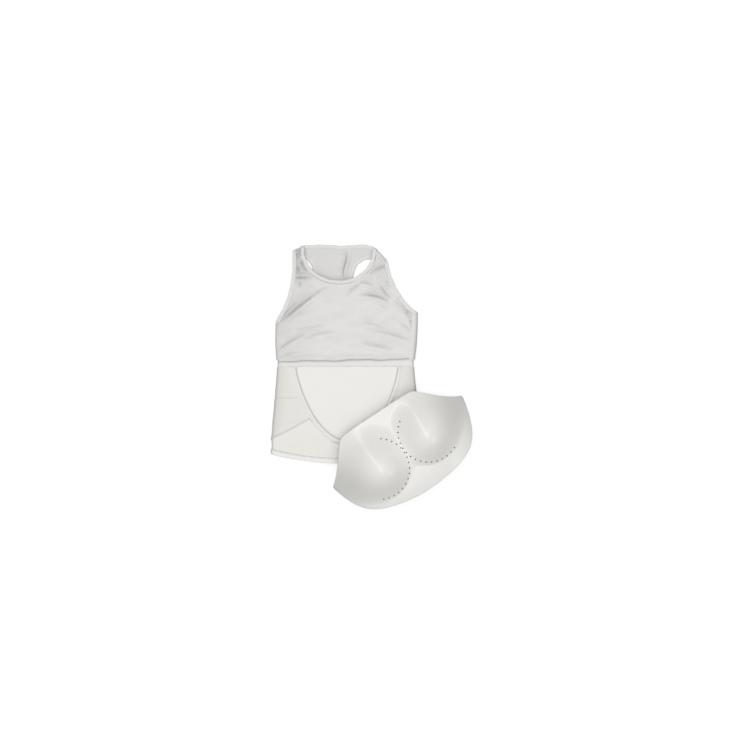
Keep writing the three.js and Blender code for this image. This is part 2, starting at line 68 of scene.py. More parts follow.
# Folds of the bust panel: a sharp dent along a bowed line with a ridge beside it, to the left of its run
# or, with side -1, to its right; it deepens over the first share of its way and fades over the rest
bustFolds = np.array([
    # from x, from y, to x, to y, bow, rise, width, side, deepest
    (-143, 86, -56, 158, 1, 4.4, 6.0, -1, 0.45),
    (-64, 152, -30, 169, 1, 2.0, 6.0, -1, 0.30),
    (-144, 88, -102, 135, 3, 2.8, 4.0, -1, 0.30),
    (-112, 184, -67, 184, 0, 3.2, 5.0, 1, 0.30),
    (-98, 179, -98, 162, 0, 1.9, 4.0, 1, 0.50),
    (-119, 96, -62, 116, 2, 1.0, 8.0, -1, 0.50),
    (-112, 74, -36, 87, -3, 1.7, 7.0, 1, 0.60),
    (-145, 27, -84, 65, 4, 3.2, 8.0, -1, 0.25),
    (-90, 52, -22, 69, 5, 2.2, 8.0, -1, 0.50),
    (-144, 12, -88, 25, 3, 1.3, 9.0, 1, 0.30),
    (0, 144, 33, 175, 2, 2.3, 5.0, -1, 0.60),
    (29, 177, 60, 170, 1, 2.4, 5.0, -1, 0.30),
    (25, 149, 94, 134, 5, 3.6, 6.0, -1, 0.55),
    (71, 170, 98, 138, -2, 3.0, 4.5, 1, 0.60),
    (83, 180, 98, 162, 0, 2.0, 4.0, 1, 0.50),
    (90, 212, 50, 191, -2, 2.4, 4.5, -1, 0.35),
    (56, 131, 97, 112, 2, 1.1, 9.0, 1, 0.50),
    (34, 91, 90, 75, 2, 1.3, 8.0, -1, 0.40),
    (34, 76, 140, 49, 5, 2.4, 8.0, -1, 0.70),
    (33, 46, 104, 30, 1, 2.4, 8.0, -1, 0.45),
    (114, 91, 142, 68, 0, 2.4, 5.0, 1, 0.60),
    (98, 141, 134, 100, 2, 1.8, 3.5, 1, 0.40),
], float)
foldDent = {
    "share": 1.5,           # depth of the dent against the ridge
    "width": 2.8,
    "fade": 0.65,           # under 1, so that a fold keeps its height nearly to its ends
    "line": 1.9,            # half width of the shade along the dent
    "shade": 0.09,          # for each millimetre of rise
    "wideShade": 0.35,      # share of it in a wider band on the far side of the dent
    "wideAt": 3.5,
    "wideWidth": 6.0,
    "hollowShade": 0.045,   # for each millimetre of a hollow
}
bustHollows = np.array([
    # from x, from y, to x, to y, width, depth
    (-122, 124, -58, 170, 10, 2.8),
    (40, 158, 84, 156, 9, 2.4),
    (-120, 108, -152, 60, 16, 1.5),
], float)
bustHem = {
    "level": 8.5,
    "slope": 0.02,
    "waves": [(0.9, 106.81, 0.0), (0.54, 45.87, 1.0)],   # size, length, phase
}
bustSlack = {"rise": 0.6, "pitch": 34.0, "shade": 0.1, "squeeze": 0.5, "slant": 0.2}
# painted shade that darkens the left side of the bust panel
leftSideShade = {"from": -60.0, "over": -60.0, "shade": 0.1}
hemRoll = {"rise": 5.5, "above": 4.0, "width": 6.5, "edge": -0.9}   # the jersey blouses over the waist strip
sideSeam = {
    "from": (107, 138),
    "to": (147, 12),
    "bow": 9.0,
    "rise": 1.2,
    "width": 1.7,
    "taper": 0.2,
    "shade": 0.3,           # on the crushed cloth beyond the seam
    "shadeAt": 2.0,
    "shadeOver": 3.0,
    "shadeAbove": 4.0,
    "shadeBase": 1.2,
    "shadePitch": 16.0,
}
strapCrumple = [
    # reach below the shoulder fold, rise, pitch, how much the creases turn across the strap, shade in them
    {"reach": 54.0, "rise": 4.0, "pitch": 19.0, "turn": 0.7, "shade": 0.7},     # left
    {"reach": 46.0, "rise": 2.8, "pitch": 16.0, "turn": 0.35, "shade": 0.24},   # right
]
strapCrush = {"start": 6.0, "halfWidth": 1.3, "fineRise": 0.4, "fineShift": 9.0, "fineTurn": 1.4,
              "finePitch": 0.42, "shadeBelow": 0.15}
rippleWaves = [
    # size, share of a and share of b in its run, phase
    (1.0, 1.0, 0.3, 0.0),
    (1.0, -0.5, 0.62, 1.7),
    (0.7, 1.37, -0.44, 0.6),
]
crumpleWaves = np.random.default_rng(5).uniform(0, 2 * np.pi, (7, 3))   # heading, phase and bend of each
crumpled = {"coarsest": 0.7, "finer": 0.15, "bend": 2.5, "bendLength": 9.0, "scale": 3.5, "level": 0.75}


def bell(distance, width):
    # one in the middle, falling off on both sides: e to the minus square of the share of the width
    return np.exp(-(distance / width) ** 2)


def ramp(x, start, over):
    # nothing up to the start and one past a length from there, straight in between
    return np.clip((x - start) / over, 0, 1)


def wobble(x, waves):
    # sum of sine waves, each with its size, length and phase
    return sum(size * np.sin(2 * np.pi * x / length + phase) for size, length, phase in waves)


def ripple(a, b, pitch):
    # irregular fine gathers: three crossed sine waves of unlike pitch, over the sum of their sizes
    turn = 2 * np.pi / pitch
    waves = sum(size * np.sin(turn * (ofA * a + ofB * b) + phase) for size, ofA, ofB, phase in rippleWaves)
    return waves / sum(size for size, _, _, _ in rippleWaves)


def crumple(a, b, pitch):
    # crushed cloth: sharp creases in many directions, each one minus the size of a bent sine wave, squared
    total = 0.0
    for i, (heading, phase, bend) in enumerate(crumpleWaves):
        along = a * np.cos(heading) + b * np.sin(heading)
        across = b * np.cos(heading) - a * np.sin(heading)
        bent = along + crumpled["bend"] * np.sin(across / crumpled["bendLength"] + bend)
        wave = np.pi / pitch * (crumpled["coarsest"] + crumpled["finer"] * i) * bent
        total = total + (1 - np.abs(np.sin(wave + phase))) ** 2
    return total / crumpled["scale"] - crumpled["level"]


def sectionAt(column, y):
    # smooth curve through one column of the section table: cubic spans whose slopes are the neighbours' mean
    rows, values = lying["sections"][:, 0], lying["sections"][:, column]
    y = np.clip(y, rows[0], rows[-1])
    low = np.clip(np.searchsorted(rows, y) - 1, 0, len(rows) - 2)
    before = np.maximum(np.arange(len(rows)) - 1, 0)
    after = np.minimum(np.arange(len(rows)) + 1, len(rows) - 1)
    slope = (values[after] - values[before]) / (rows[after] - rows[before])
    span = rows[low + 1] - rows[low]
    t = (y - rows[low]) / span
    ends = values[low] * (1 + 2 * t) * (1 - t) ** 2 + values[low + 1] * t * t * (3 - 2 * t)
    return ends + span * (slope[low] * t * (1 - t) ** 2 + slope[low + 1] * t * t * (t - 1))


def tubeAt(y):
    # middle, flat half width, fold radius, height and crown of the flattened tube at y
    left, right, height, crown = (sectionAt(column, y) for column in (1, 2, 3, 4))
    radius = (height - crown) / 2
    return (left + right) / 2, (right - left) / 2 - radius, radius, height, crown


def foldFrame(ends):
    # a shoulder fold as its start, direction, length and the direction in which the strap runs over it
    start, end = np.array(ends, float)
    length = np.hypot(*(end - start))
    along = (end - start) / length
    over = np.array([-along[1], along[0]]) * (1 if along[0] > 0 else -1)
    return {"start": start, "along": along, "length": length, "over": over}


leftFold, rightFold = foldFrame(lying["leftShoulder"]), foldFrame(lying["rightShoulder"])
shoulderFolds = [leftFold, rightFold]


def pastFold(fold, s, y):
    # distances of cloth points along a shoulder fold, from its outer end, and past it
    ds, dy = s - fold["start"][0], y - fold["start"][1]
    along = ds * fold["along"][0] + dy * fold["along"][1]
    return along, ds * fold["over"][0] + dy * fold["over"][1]


def bowedLine(x, y, start, end, bow):
    # share of the way along a line from start to end, and the distance to the left of it once it is bowed
    length = math.hypot(end[0] - start[0], end[1] - start[1])
    ax, ay = (end[0] - start[0]) / length, (end[1] - start[1]) / length
    t = np.clip(((x - start[0]) * ax + (y - start[1]) * ay) / length, 0, 1)
    return t, (y - start[1]) * ax - (x - start[0]) * ay - 4 * bow * t * (1 - t)


def bustHemAt(x):
    # lower edge of the jersey: a level with a slight slope and two waves
    return bustHem["level"] + bustHem["slope"] * x + wobble(x, bustHem["waves"])


def foldParts(x, y):
    # height of the folded bust panel and the painted shade in its creases: each fold a ridge less a sharp
    # dent, fading out at both ends, less the broad hollows, with the side seam, the rolled hem, the crushed
    # straps and a slight slack all over; painted shade makes the left side a little darker
    rise = np.zeros(np.broadcast(x, y).shape)
    shade = np.zeros(rise.shape)
    for x0, y0, x1, y1, bow, height, width, side, deepest in bustFolds:
        t, aside = bowedLine(x, y, (x0, y0), (x1, y1), bow)
        fade = np.cos(np.pi / 2 * np.where(t < deepest, 1 - t / deepest, (t - deepest) / (1 - deepest)))
        height = height * np.maximum(fade, 0) ** foldDent["fade"]
        ridge, dent = bell(aside * side - width, width), bell(aside, foldDent["width"])
        rise += height * (ridge - foldDent["share"] * dent)
        wide = bell(aside * side + foldDent["wideAt"], foldDent["wideWidth"])
        shade += foldDent["shade"] * height * (bell(aside, foldDent["line"]) + foldDent["wideShade"] * wide)
    for x0, y0, x1, y1, width, depth in bustHollows:
        t, aside = bowedLine(x, y, (x0, y0), (x1, y1), 0)
        hollow = depth * np.sin(np.pi * t) * bell(aside, width)
        rise -= hollow
        shade += foldDent["hollowShade"] * hollow
    t, aside = bowedLine(x, y, sideSeam["from"], sideSeam["to"], sideSeam["bow"])
    rise += sideSeam["rise"] * np.sin(np.pi * t) ** sideSeam["taper"] * bell(aside, sideSeam["width"])
    beyond = ramp(aside, sideSeam["shadeAt"], sideSeam["shadeOver"])
    beyond = beyond * (y < sideSeam["from"][1] + sideSeam["shadeAbove"])
    shade += beyond * sideSeam["shade"] * (sideSeam["shadeBase"] + crumple(x, y, sideSeam["shadePitch"]))
    over = y - bustHemAt(x)
    roll = hemRoll["rise"] * bell(over - hemRoll["above"], hemRoll["width"])
    rise += np.where(over > hemRoll["edge"], roll, 0)
    for fold, crush in zip(shoulderFolds, strapCrumple):
        along, past = pastFold(fold, x, y)
        beside = along / fold["length"] - 0.5
        below = np.maximum(-past - strapCrush["start"], 0)
        near = np.exp(-(below / crush["reach"]) ** 4 - (beside / strapCrush["halfWidth"]) ** 6)
        across, down = beside * fold["length"], -crush["turn"] * past
        fine = crumple(across + strapCrush["fineShift"], strapCrush["fineTurn"] * down,
                       strapCrush["finePitch"] * crush["pitch"])
        crushed = crumple(across, down, crush["pitch"]) + strapCrush["fineRise"] * fine
        rise += crush["rise"] * near * crushed
        shade += crush["shade"] * near * np.maximum(strapCrush["shadeBelow"] - crushed, 0)
    slant = bustSlack["slant"]
    loose = crumple(bustSlack["squeeze"] * x - slant * y, y + slant * x, bustSlack["pitch"])
    rise += bustSlack["rise"] * loose
    shade += bustSlack["shade"] * np.maximum(-loose, 0)
    shade += leftSideShade["shade"] * ramp(x, leftSideShade["from"], leftSideShade["over"])
    return rise, np.clip(shade, 0, 1)


def cornerSag(along):
    # how much earlier a strap turns over near its outer end, falling to nothing inwards and past the edge
    inwards = ramp(along, lying["cornerReach"], -lying["cornerReach"]) ** 2
    return lying["cornerSag"] * inwards * ramp(along, -lying["strapMargin"], lying["strapMargin"])


def frontHeight(s, y):
    # height of the front: its crown drops with the square of the way to the side, where the folds run out
    centre, flat, _, height, crown = tubeAt(y)
    share = np.minimum(np.abs(s) / flat, 1)
    return height - crown * share ** 2 + foldParts(centre + s, y)[0] * (1 - share ** 6)


def drape(s, y, depth):
    # lays cloth points in place, s across from the middle of the front and y up, at a depth inside the outer
    # surface: a flat crowned front, half-round side folds on to a flat back, half-round shoulder folds
    s, y, depth = (np.array(part, float) for part in np.broadcast_arrays(s, y, depth))
    centre, flat, radius, _, _ = tubeAt(y)
    past = np.abs(s) - flat
    x, ahead, z = centre + s, y.copy(), frontHeight(s, y) - depth
    angle, reach = past / radius, radius - depth
    out = np.where(angle < np.pi, reach * np.sin(angle), np.pi * radius - past)
    x = np.where(past > 0, centre + np.sign(s) * (flat + out), x)
    z = np.where(past > 0, np.where(angle < np.pi, radius + reach * np.cos(angle), depth), z)
    margin = lying["strapMargin"]
    for fold in shoulderFolds:
        along, over = pastFold(fold, s, y)
        over = over + cornerSag(along)
        turned = (past <= 0) & (over > 0) & (along > -margin) & (along < fold["length"] + margin)
        footS, footY = s - fold["over"][0] * over, y - fold["over"][1] * over
        lift = frontHeight(footS, footY) / 2
        angle = over / lift
        out = np.where(angle < np.pi, (lift - depth) * np.sin(angle), np.pi * lift - over)
        x = np.where(turned, centre + footS + fold["over"][0] * out, x)
        ahead = np.where(turned, footY + fold["over"][1] * out, ahead)
        z = np.where(turned, np.where(angle < np.pi, lift + (lift - depth) * np.cos(angle), depth), z)
    return np.stack([x, ahead, z], -1)


def onBack(f, y):
    # cloth position s of a point on the back, f across from the middle of the back
    _, flat, radius, _, _ = tubeAt(y)
    return np.where(f < 0, -1, 1) * (2 * flat + np.pi * radius - np.abs(f))


def drapeBack(f, y, depth):
    # the same laying for points given on the back
    return drape(onBack(f, y), y, depth)


# Paths and patches on the cloth

def curve(a, b, c, d, count):
    # cubic curve with its two ends and two handles
    t = np.linspace(0, 1, count)[:, None]
    a, b, c, d = (np.array(p, float) for p in (a, b, c, d))
    return (1 - t) ** 3 * a + 3 * (1 - t) ** 2 * t * b + 3 * (1 - t) * t ** 2 * c + t ** 3 * d


def straight(a, b, count):
    # even points from one end of a line to the other
    t = np.linspace(0, 1, count)[:, None]
    return (1 - t) * np.array(a, float) + t * np.array(b, float)


def joinPaths(*paths):
    # paths one after another, each without the point that it shares with the one before
    return np.concatenate([path if i == 0 else path[1:] for i, path in enumerate(paths)])


def evenPath(path, step):
    # the same path with points at even distances, and those distances
    lengths = np.concatenate([[0], np.cumsum(np.hypot(*np.diff(path, axis=0).T))])
    at = np.linspace(0, lengths[-1], int(lengths[-1] / step) + 2)
    return np.stack([np.interp(at, lengths, path[:, k]) for k in (0, 1)], 1), at


def leftNormals(path, soften=3):
    # unit vectors to the left of the path, softened over a few points before and after
    run = np.gradient(path, axis=0)
    normal = np.stack([-run[:, 1], run[:, 0]], 1)
    padded = np.pad(normal, ((soften, soften), (0, 0)), mode="edge")
    normal = sum(padded[k:k + len(path)] for k in range(2 * soften + 1))
    return normal / np.hypot(*normal.T)[:, None]


def ruledPatch(lower, upper, rows):
    # straight columns from one edge to the other: arrays s and y
    t = np.linspace(0, 1, rows)[:, None, None]
    grid = (1 - t) * lower[None] + t * upper[None]
    return grid[..., 0], grid[..., 1]


def edgedPatch(bottom, top, left, right, power=1):
    # surface between four edges: ruled from bottom to top, and drawn out to the sides, the nearer the more
    u = np.linspace(0, 1, len(bottom))[None, :, None]
    v = np.linspace(0, 1, len(left))[:, None, None]
    across = (1 - v) * bottom[None] + v * top[None]
    pull = (left[:, None] - across[:, :1]) * (1 - u) ** power + (right[:, None] - across[:, -1:]) * u ** power
    grid = across + pull
    return grid[..., 0], grid[..., 1]


def toSeams(patch, seam, parts=5):
    # moves the side columns of a patch on to their seams, and the nearest fifth of the columns in proportion
    s, y = patch
    u = np.linspace(0, 1, s.shape[1])[None]
    near, far = np.maximum(1 - parts * u, 0), np.maximum(1 - parts * (1 - u), 0)
    leftMove = seam(y[:, 0], "left")[0] - s[:, 0]
    rightMove = seam(y[:, -1], "right")[0] - s[:, -1]
    return s + leftMove[:, None] * near + rightMove[:, None] * far, y


def fromBottom(s, y):
    # distance of every point of a patch from its bottom row, along the columns
    return np.cumsum(np.hypot(np.diff(s, axis=0, prepend=s[:1]), np.diff(y, axis=0, prepend=y[:1])), axis=0)


# Meshes

weldGrid = {"perMm": 50, "offset": 0.137}             # the offset keeps round sizes off the borders
sharpFrom = {"cloth": 55, "strip": 70, "shell": 50}   # degrees between faces


def gridQuads(rows, columns, wrap=False):
    # corner indices of every quad of a grid, going round in its columns where it wraps
    index = np.arange(rows * columns).reshape(rows, columns)
    if wrap:
        index = np.concatenate([index, index[:, :1]], 1)
    return np.stack([index[:-1, :-1], index[:-1, 1:], index[1:, 1:], index[1:, :-1]], -1).reshape(-1, 4)


def weld(points):
    # points in the same place count as one: the first of each place, and the place of every point
    cells = np.round(points * weldGrid["perMm"] + weldGrid["offset"])
    _, first, place = np.unique(cells, axis=0, return_index=True, return_inverse=True)
    return first, place.reshape(-1)


def newObject(name, points, faces, uvs, material, sharp=None, shade=None):
    # mesh object from millimetre points in the part's frame, faces of four corners of which some may
    # coincide, and one uv pair for each corner; a closed mesh that points inwards is turned round
    a, b, c, d = (points[faces[:, k]] for k in range(4))
    volume = (a * np.cross(b, c)).sum() + (a * np.cross(c, d)).sum()
    if volume < 0:
        faces, uvs = faces[:, ::-1], uvs[:, ::-1]
    kept = faces != np.roll(faces, 1, axis=1)
    real = kept.sum(1) > 2
    faces, uvs, kept = faces[real], uvs[real], kept[real]
    corners, counts = faces[kept], kept.sum(1)
    mesh = bpy.data.meshes.new(name)
    mesh.vertices.add(len(points))
    mesh.vertices.foreach_set("co", (points * mm).astype(np.float32).ravel())
    mesh.loops.add(len(corners))
    mesh.loops.foreach_set("vertex_index", corners.astype(np.int32))
    mesh.polygons.add(len(counts))
    mesh.polygons.foreach_set("loop_start", np.concatenate([[0], np.cumsum(counts)[:-1]]).astype(np.int32))
    mesh.update(calc_edges=True)
    mesh.validate()
    mesh.uv_layers.new(name="cloth").data.foreach_set("uv", (uvs[kept] * mm).astype(np.float32).ravel())
    # the painted shade of creases, hollows, seams and turned sides, kept as the crease attribute
    if shade is not None:
        mesh.attributes.new("crease", "FLOAT", "POINT").data.foreach_set("value", shade.astype(np.float32))
    mesh.shade_smooth()
    if sharp:
        mesh.set_sharp_from_angle(angle=math.radians(sharp))
    mesh.materials.append(material)
    made = bpy.data.objects.new(name, mesh)
    bpy.context.scene.collection.objects.link(made)
    return made


def clothWall(patches, outer, inner, place=drape):
    # closed wall of cloth between two depths: welded patches as its outer face, the same as its inner face,
    # and a rim round the free edges; returns points, faces, uvs, each patch point's place among the outer
    # points and the outer points' own s and y
    across = np.concatenate([s.ravel() for s, _ in patches])
    upward = np.concatenate([y.ravel() for _, y in patches])
    deep = [np.concatenate([np.broadcast_to(d, s.shape).ravel() for d, (s, _) in zip(depths, patches)])
            for depths in (outer, inner)]
    starts = np.cumsum([0] + [s.size for s, _ in patches])
    quads = np.concatenate([gridQuads(*s.shape) + start for (s, _), start in zip(patches, starts)])
    top = place(across, upward, deep[0])
    first, places = weld(top)
    below = place(across[first], upward[first], deep[1][first])
    flat = np.stack([across, upward], 1)
    faces, count = places[quads], len(first)
    edges = np.concatenate([faces[:, [k, (k + 1) % 4]] for k in range(4)])
    edges = edges[edges[:, 0] != edges[:, 1]]
    rim = edges[~np.isin(edges @ [count, 1], edges @ [1, count])]
    rimFaces = np.stack([rim[:, 1], rim[:, 0], rim[:, 0] + count, rim[:, 1] + count], 1)
    points = np.concatenate([top[first], below]) + garmentPlace
    allFaces = np.concatenate([faces, faces[:, ::-1] + count, rimFaces])
    uvs = np.concatenate([flat[quads], flat[quads][:, ::-1], flat[first][rimFaces % count]])
    return points, allFaces, uvs, places, flat[first]


def clothPiece(name, patches, outer, inner, material, place=drape, shadeOf=None):
    # wall of cloth as an object, with the shade of its creases on both faces
    points, faces, uvs, _, flat = clothWall(patches, outer, inner, place)
    shade = np.tile(shadeOf(*flat.T), 2) if shadeOf else None
    return newObject(name, points, faces, uvs, material, sharpFrom["cloth"], shade)


def tubePiece(name, path, across, deep, material, place=drape, flip=1):
    # a closed profile carried along a path on the cloth: across and deep hold, for every path point, the
    # profile's distances to the left of the path and its depths; both ends close in a point
    normal = leftNormals(path) * flip
    s = path[:, :1] + normal[:, :1] * across
    y = path[:, 1:] + normal[:, 1:] * across
    ring = place(s, y, deep)
    ring = np.concatenate([ring[:1].mean(1, keepdims=True).repeat(ring.shape[1], 1), ring,
                           ring[-1:].mean(1, keepdims=True).repeat(ring.shape[1], 1)])
    flat = np.stack([s, y], -1)
    flat = np.concatenate([flat[:1], flat, flat[-1:]]).reshape(-1, 2)
    quads = gridQuads(*ring.shape[:2], wrap=True)
    points = ring.reshape(-1, 3)
    first, places = weld(points)
    return newObject(name, points[first] + garmentPlace, places[quads], flat[quads], material,
                     sharpFrom["strip"])


def roundedProfile(low, high, top, bottom, corners, power=2.6):
    # superellipse between two distances across and two depths, as one closed ring
    angle = np.linspace(0, 2 * np.pi, corners, endpoint=False)
    c, s = np.cos(angle), np.sin(angle)
    across = (low + high) / 2 + (high - low) / 2 * np.sign(c) * np.abs(c) ** (2 / power)
    deep = (top + bottom) / 2 - (bottom - top) / 2 * np.sign(s) * np.abs(s) ** (2 / power)
    return across, deep


thread = {"length": 2.3, "radius": 0.27, "sides": 6, "rings": 5, "bury": 0.05, "hump": 0.3}


def stitchRow(name, path, pitch, depth, place=drape, zigzag=0.0, length=thread["length"]):
    # a row of short thread stitches along a path on the cloth, each a capsule that follows the surface,
    # turned to and fro by the zigzag angle
    spots, _ = evenPath(path, pitch)
    run = -leftNormals(spots) @ np.array([[0, 1], [-1, 0]])
    turn = np.where(np.arange(len(spots)) % 2, 1, -1) * math.radians(zigzag)
    run = np.stack([run[:, 0] * np.cos(turn) - run[:, 1] * np.sin(turn),
                    run[:, 0] * np.sin(turn) + run[:, 1] * np.cos(turn)], 1)
    a = np.cos(np.linspace(np.pi, 0, thread["rings"]))[:, None]
    around = np.linspace(0, 2 * np.pi, thread["sides"], endpoint=False)[None]
    slim = np.sqrt(np.maximum(1 - a ** 4, 0)) * thread["radius"]
    ahead = (a * length / 2 + 0 * around).ravel()
    aside = (slim * np.cos(around)).ravel()
    lift = (slim * np.sin(around) + thread["hump"] * thread["radius"] * (1 - a ** 2)).ravel()
    s = spots[:, :1] + run[:, :1] * ahead - run[:, 1:] * aside
    y = spots[:, 1:] + run[:, 1:] * ahead + run[:, :1] * aside
    points = place(s, y, depth + thread["bury"] - lift).reshape(-1, 3)
    one = gridQuads(thread["rings"], thread["sides"], wrap=True)
    quads = (one[None] + np.arange(len(spots))[:, None, None] * len(ahead)).reshape(-1, 4)
    first, places = weld(points)
    flat = np.stack([s.ravel(), y.ravel()], 1)
    return newObject(name, points[first] + garmentPlace, places[quads], flat[quads], cloths["thread"])


# Shader groups

def newGroup(name, inputs, outputs):
    # empty shader group with named sockets: inputs are (name, kind, default), outputs (name, kind)
    group = bpy.data.node_groups.new(name, "ShaderNodeTree")
    for label, kind, value in inputs:
        socket = group.interface.new_socket(label, in_out="INPUT", socket_type="NodeSocket" + kind)
        if value is not None:
            socket.default_value = value
    for label, kind in outputs:
        group.interface.new_socket(label, in_out="OUTPUT", socket_type="NodeSocket" + kind)
    return group, group.nodes.new("NodeGroupInput").outputs, group.nodes.new("NodeGroupOutput").inputs


def feed(tree, socket, value):
    # links an output to a socket, or sets the socket's value
    if isinstance(value, bpy.types.NodeSocket):
        tree.links.new(value, socket)
    else:
        socket.default_value = value


def setInputs(tree, node, values):
    # feeds a node's inputs by their labels, with _ for a space
    for label, value in values.items():
        feed(tree, node.inputs[label.replace("_", " ")], value)
    return node


def addNode(tree, kind, **values):
    return setInputs(tree, tree.nodes.new("ShaderNode" + kind), values)


def placeGroup(tree, group, **values):
    node = tree.nodes.new("ShaderNodeGroup")
    node.node_tree = group
    return setInputs(tree, node, values).outputs


def calc(tree, operation, *values):
    # one sum on values or sockets, in the order of the Math node's inputs
    node = tree.nodes.new("ShaderNodeMath")
    node.operation = operation
    for socket, value in zip(node.inputs, values):
        feed(tree, socket, value)
    return node.outputs[0]


def noise(tree, vector, scale, detail=2.0):
    return addNode(tree, "TexNoise", Vector=vector, Scale=scale, Detail=detail).outputs["Fac"]


def mixColor(tree, share, first, second):
    # the Mix node keeps its colour sockets at places 6 and 7, and their result at 2
    node = tree.nodes.new("ShaderNodeMix")
    node.data_type = "RGBA"
    for place, value in ((0, share), (6, first), (7, second)):
        feed(tree, node.inputs[place], value)
    return node.outputs[2]


knitLook = {"slant": 2.2, "loopDepth": 0.3}


def knitLoops():
    # plain knit: rounded columns of loops whose legs slant to a V
    group, given, out = newGroup(
        "knitLoops",
        [("Vector", "Vector", None), ("Wale Pitch", "Float", 0.001), ("Course Pitch", "Float", 0.001)],
        [("Height", "Float")],
    )
    part = addNode(group, "SeparateXYZ", Vector=given["Vector"]).outputs
    u = calc(group, "MULTIPLY", calc(group, "DIVIDE", part[0], given["Wale Pitch"]), math.pi)
    v = calc(group, "MULTIPLY", calc(group, "DIVIDE", part[1], given["Course Pitch"]), 2 * math.pi)
    column = calc(group, "ABSOLUTE", calc(group, "SINE", u))
    leg = calc(group, "MULTIPLY_ADD", calc(group, "ABSOLUTE", calc(group, "COSINE", u)), knitLook["slant"], v)
    depth = knitLook["loopDepth"]
    loop = calc(group, "MULTIPLY_ADD", calc(group, "SINE", leg), depth, 1 - depth)
    feed(group, out["Height"], calc(group, "MULTIPLY", column, loop))
    return group


ribLook = {"waverScale": 60.0, "waverDetail": 1.0, "roundness": 0.6, "grooveSharpness": 3.0}


def ribs():
    # parallel ribs across the first coordinate, narrow grooves between round backs
    group, given, out = newGroup(
        "ribs",
        [("Vector", "Vector", None), ("Pitch", "Float", 0.003), ("Waver", "Float", 0.0)],
        [("Height", "Float"), ("Groove", "Float")],
    )
    part = addNode(group, "SeparateXYZ", Vector=given["Vector"]).outputs
    uneven = noise(group, given["Vector"], ribLook["waverScale"], ribLook["waverDetail"])
    waver = calc(group, "MULTIPLY", uneven, given["Waver"])
    across = calc(group, "ADD", calc(group, "DIVIDE", part[0], given["Pitch"]), waver)
    back = calc(group, "ABSOLUTE", calc(group, "SINE", calc(group, "MULTIPLY", across, math.pi)))
    feed(group, out["Height"], calc(group, "POWER", back, ribLook["roundness"]))
    between = calc(group, "SUBTRACT", 1.0, back)
    feed(group, out["Groove"], calc(group, "POWER", between, ribLook["grooveSharpness"]))
    return group


# the painted shade in creases mixes the colour this share of the way to a near black
toneLook = {"fleck": 0.45, "fleckDetail": 1.0, "patchDetail": 3.0, "deep": 0.72,
            "creaseShadeColor": (0.1, 0.098, 0.095, 1)}


def clothTone():
    # uneven white: broad soft patches and a fine fleck between a lit and a dull colour, with painted shade in
    # the rib grooves and in creases
    group, given, out = newGroup(
        "clothTone",
        [("Vector", "Vector", None), ("Lit", "Color", (1, 1, 1, 1)), ("Dull", "Color", (0.8, 0.8, 0.8, 1)),
         ("Patch Scale", "Float", 14.0), ("Fleck Scale", "Float", 900.0), ("Dirt", "Float", 0.0),
         ("Crease", "Float", 0.0)],
        [("Color", "Color"), ("Fleck", "Float")],
    )
    patch = noise(group, given["Vector"], given["Patch Scale"], toneLook["patchDetail"])
    fleck = noise(group, given["Vector"], given["Fleck Scale"], toneLook["fleckDetail"])
    broad = calc(group, "MULTIPLY", patch, 1 - toneLook["fleck"])
    share = calc(group, "ADD", calc(group, "MULTIPLY_ADD", fleck, toneLook["fleck"], broad), given["Dirt"])
    tone = mixColor(group, share, given["Lit"], given["Dull"])
    # painted shade: the colour darkened towards near black as far as the crease shade reaches
    deep = mixColor(group, toneLook["deep"], tone, toneLook["creaseShadeColor"])
    feed(group, out["Color"], mixColor(group, given["Crease"], tone, deep))
    feed(group, out["Fleck"], fleck)
    return group


skinLook = {"waveScale": 22.0, "grain": 0.12, "scuffTurn": math.radians(50), "scuffScale": (12, 320, 40),
            "scuffDetail": 3.0, "scuffFrom": 0.62, "scuffTo": 0.72}


def mouldedSkin():
    # blown plastic: faint flow waves, a fine matt grain and hairline scuffs
    group, given, out = newGroup(
        "mouldedSkin",
        [("Vector", "Vector", None), ("Grain Scale", "Float", 700.0)],
        [("Height", "Float"), ("Scuff", "Float")],
    )
    waves = noise(group, given["Vector"], skinLook["waveScale"])
    grain = noise(group, given["Vector"], given["Grain Scale"])
    feed(group, out["Height"], calc(group, "MULTIPLY_ADD", grain, skinLook["grain"], waves))
    stretch = addNode(group, "Mapping", Vector=given["Vector"], Rotation=(0, 0, skinLook["scuffTurn"]),
                      Scale=skinLook["scuffScale"])
    hair = noise(group, stretch.outputs[0], 1.0, skinLook["scuffDetail"])
    sharp = addNode(group, "MapRange", Value=hair, From_Min=skinLook["scuffFrom"],
                    From_Max=skinLook["scuffTo"])
    feed(group, out["Scuff"], sharp.outputs[0])
    return group


knitGroup, ribGroup, toneGroup, skinGroup = knitLoops(), ribs(), clothTone(), mouldedSkin()

# Materials

clothLooks = {
    # lit colour, dull colour, pitch of the loops, bump, roughness, sheen, and pitch of the ribs if any
    "jersey": ((240, 239, 237), (231, 230, 228), 1.1, 0.35, 0.86, 0.2, None),
    "ribJersey": ((241, 240, 238), (229, 228, 226), 1.1, 0.5, 0.88, 0.15, 3.6),
    "bindingCloth": ((240, 239, 237), (231, 230, 228), 0.9, 0.4, 0.82, 0.2, None),
    "elasticCloth": ((251, 250, 247), (243, 242, 238), 1.0, 0.5, 0.84, 0.15, 2.6),
    "padCloth": ((248, 247, 243), (242, 241, 237), 0.7, 0.25, 0.74, 0.15, None),
    "sidePadCloth": ((245, 244, 239), (238, 237, 232), 0.7, 0.25, 0.76, 0.15, None),
    "thread": ((228, 227, 223), (212, 211, 207), 0.4, 0.3, 0.6, 0.1, None),
}
